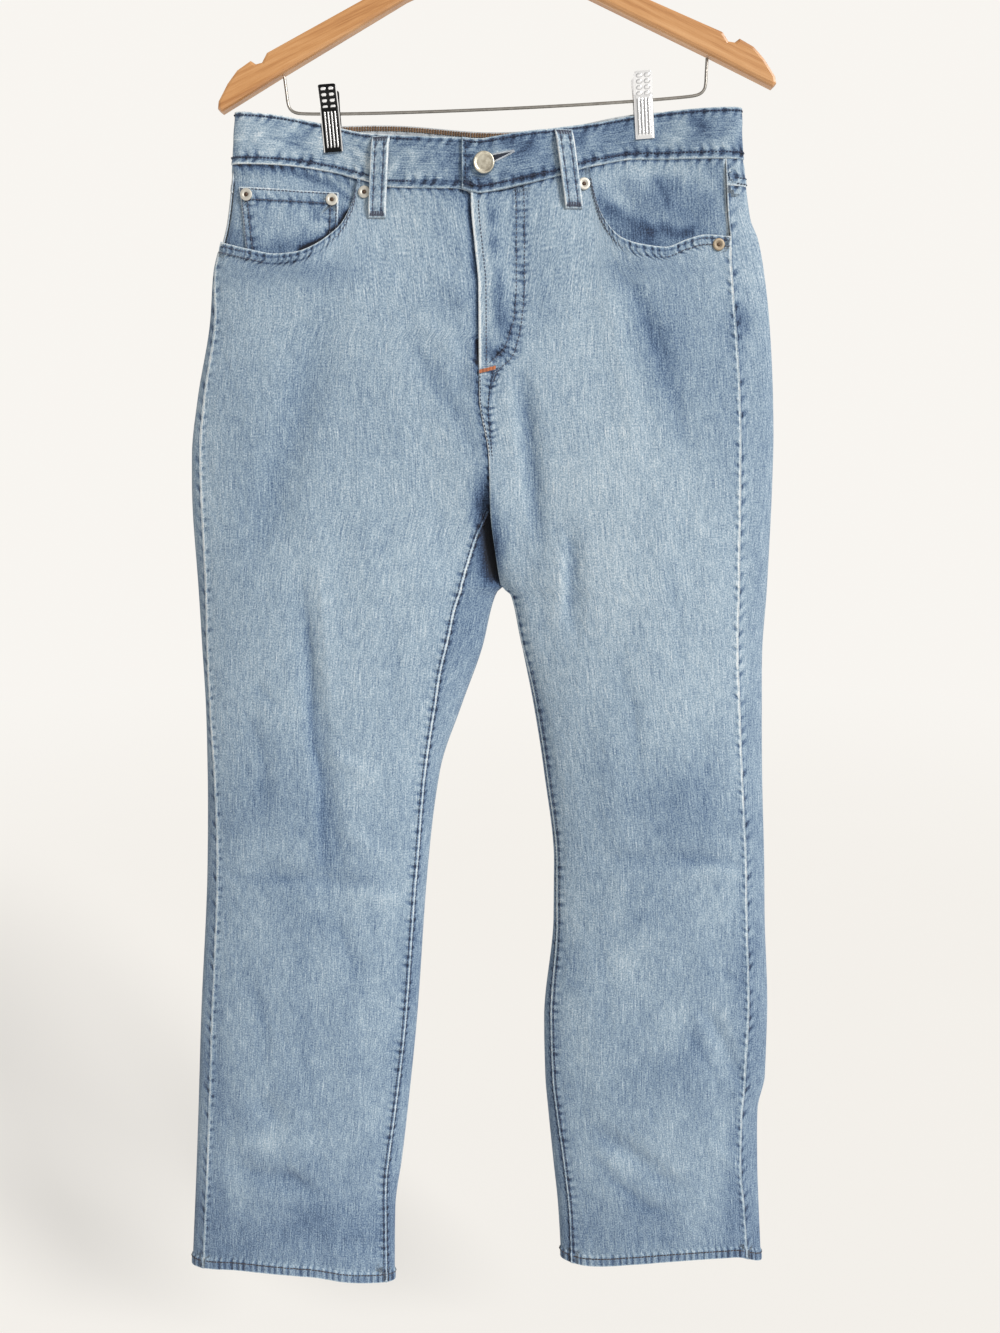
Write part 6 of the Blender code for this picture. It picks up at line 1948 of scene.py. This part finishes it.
# floor and light
room = {"floorHeight": -1.50, "reach": 40.0, "air": (0.940, 0.915, 0.875), "fill": 0.46,
        "sun": 3.1, "sunFrom": (0.66, -0.62, 0.52), "sunAngle": 16.0, "sunColour": (1.0, 0.985, 0.96),
        "blendFrom": 1.4, "blendTo": 4.5, "veil": 0.55}
floorData = bpy.data.meshes.new("floor")
floorData.from_pydata([(x * room["reach"], y * room["reach"], room["floorHeight"])
                       for x, y in ((-1, -1), (1, -1), (1, 1), (-1, 1))], [], [(0, 1, 2, 3)])
floorPaint = Finish("floor_paint")
floorPlace = floorPaint.objectPlace()
floorX, floorY, _ = floorPaint.parts(floorPlace)
faded = ((floorX * floorX + floorY * floorY) ** 0.5 - room["blendFrom"]) / (room["blendTo"] - room["blendFrom"])
faded = faded.within()
faded = faded * faded * (3.0 - 2.0 * faded) * (1.0 - room["veil"]) + room["veil"]
floorPaint.set(BaseColor=floorPaint.ramp(floorPaint.noise(floorPlace, 3.0, 2.0), (0.3, (0.925, 0.905, 0.872)),
                                         (0.7, (0.935, 0.915, 0.882))), Roughness=0.95, SpecularIORLevel=0.1)
glow = floorPaint.node("ShaderNodeEmission", {}, {"Color": (*room["air"], 1.0)})
blend = floorPaint.node("ShaderNodeMixShader", {}, {0: faded})
floorPaint.tree.links.new(floorPaint.shader.outputs[0], blend.socket.node.inputs[1])
floorPaint.tree.links.new(glow.socket, blend.socket.node.inputs[2])
floorPaint.tree.links.new(blend.socket, floorPaint.tree.nodes["Material Output"].inputs["Surface"])
floorData.materials.append(floorPaint.material)
placed("floor", floorData)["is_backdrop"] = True

world = bpy.data.worlds.new("room")
bpy.context.scene.world = world
world.use_nodes = True
worldTree = world.node_tree
worldTree.nodes.clear()
skies = []
for strength in (room["fill"], 1.0):
    sky = worldTree.nodes.new("ShaderNodeBackground")
    sky.inputs["Color"].default_value = (*room["air"], 1.0)
    sky.inputs["Strength"].default_value = strength
    skies.append(sky.outputs[0])
path = worldTree.nodes.new("ShaderNodeLightPath")
choose = worldTree.nodes.new("ShaderNodeMixShader")
worldOut = worldTree.nodes.new("ShaderNodeOutputWorld")
for start, end in ((path.outputs["Is Camera Ray"], choose.inputs[0]), (skies[0], choose.inputs[1]),
                   (skies[1], choose.inputs[2]), (choose.outputs[0], worldOut.inputs[0])):
    worldTree.links.new(start, end)

sunData = bpy.data.lights.new("soft_sun", "SUN")
sunData.energy = room["sun"]
sunData.angle = math.radians(room["sunAngle"])
sunData.color = room["sunColour"]
sunObject = placed("soft_sun", sunData)
toSun = np.array(room["sunFrom"]) / np.linalg.norm(room["sunFrom"])
sunObject.rotation_euler = (math.acos(toSun[2]), 0.0, math.atan2(toSun[1], toSun[0]) + math.pi / 2)
bpy.context.scene.view_settings.view_transform = "Standard"
print("room lit")

newBox = [list(corner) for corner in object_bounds()]
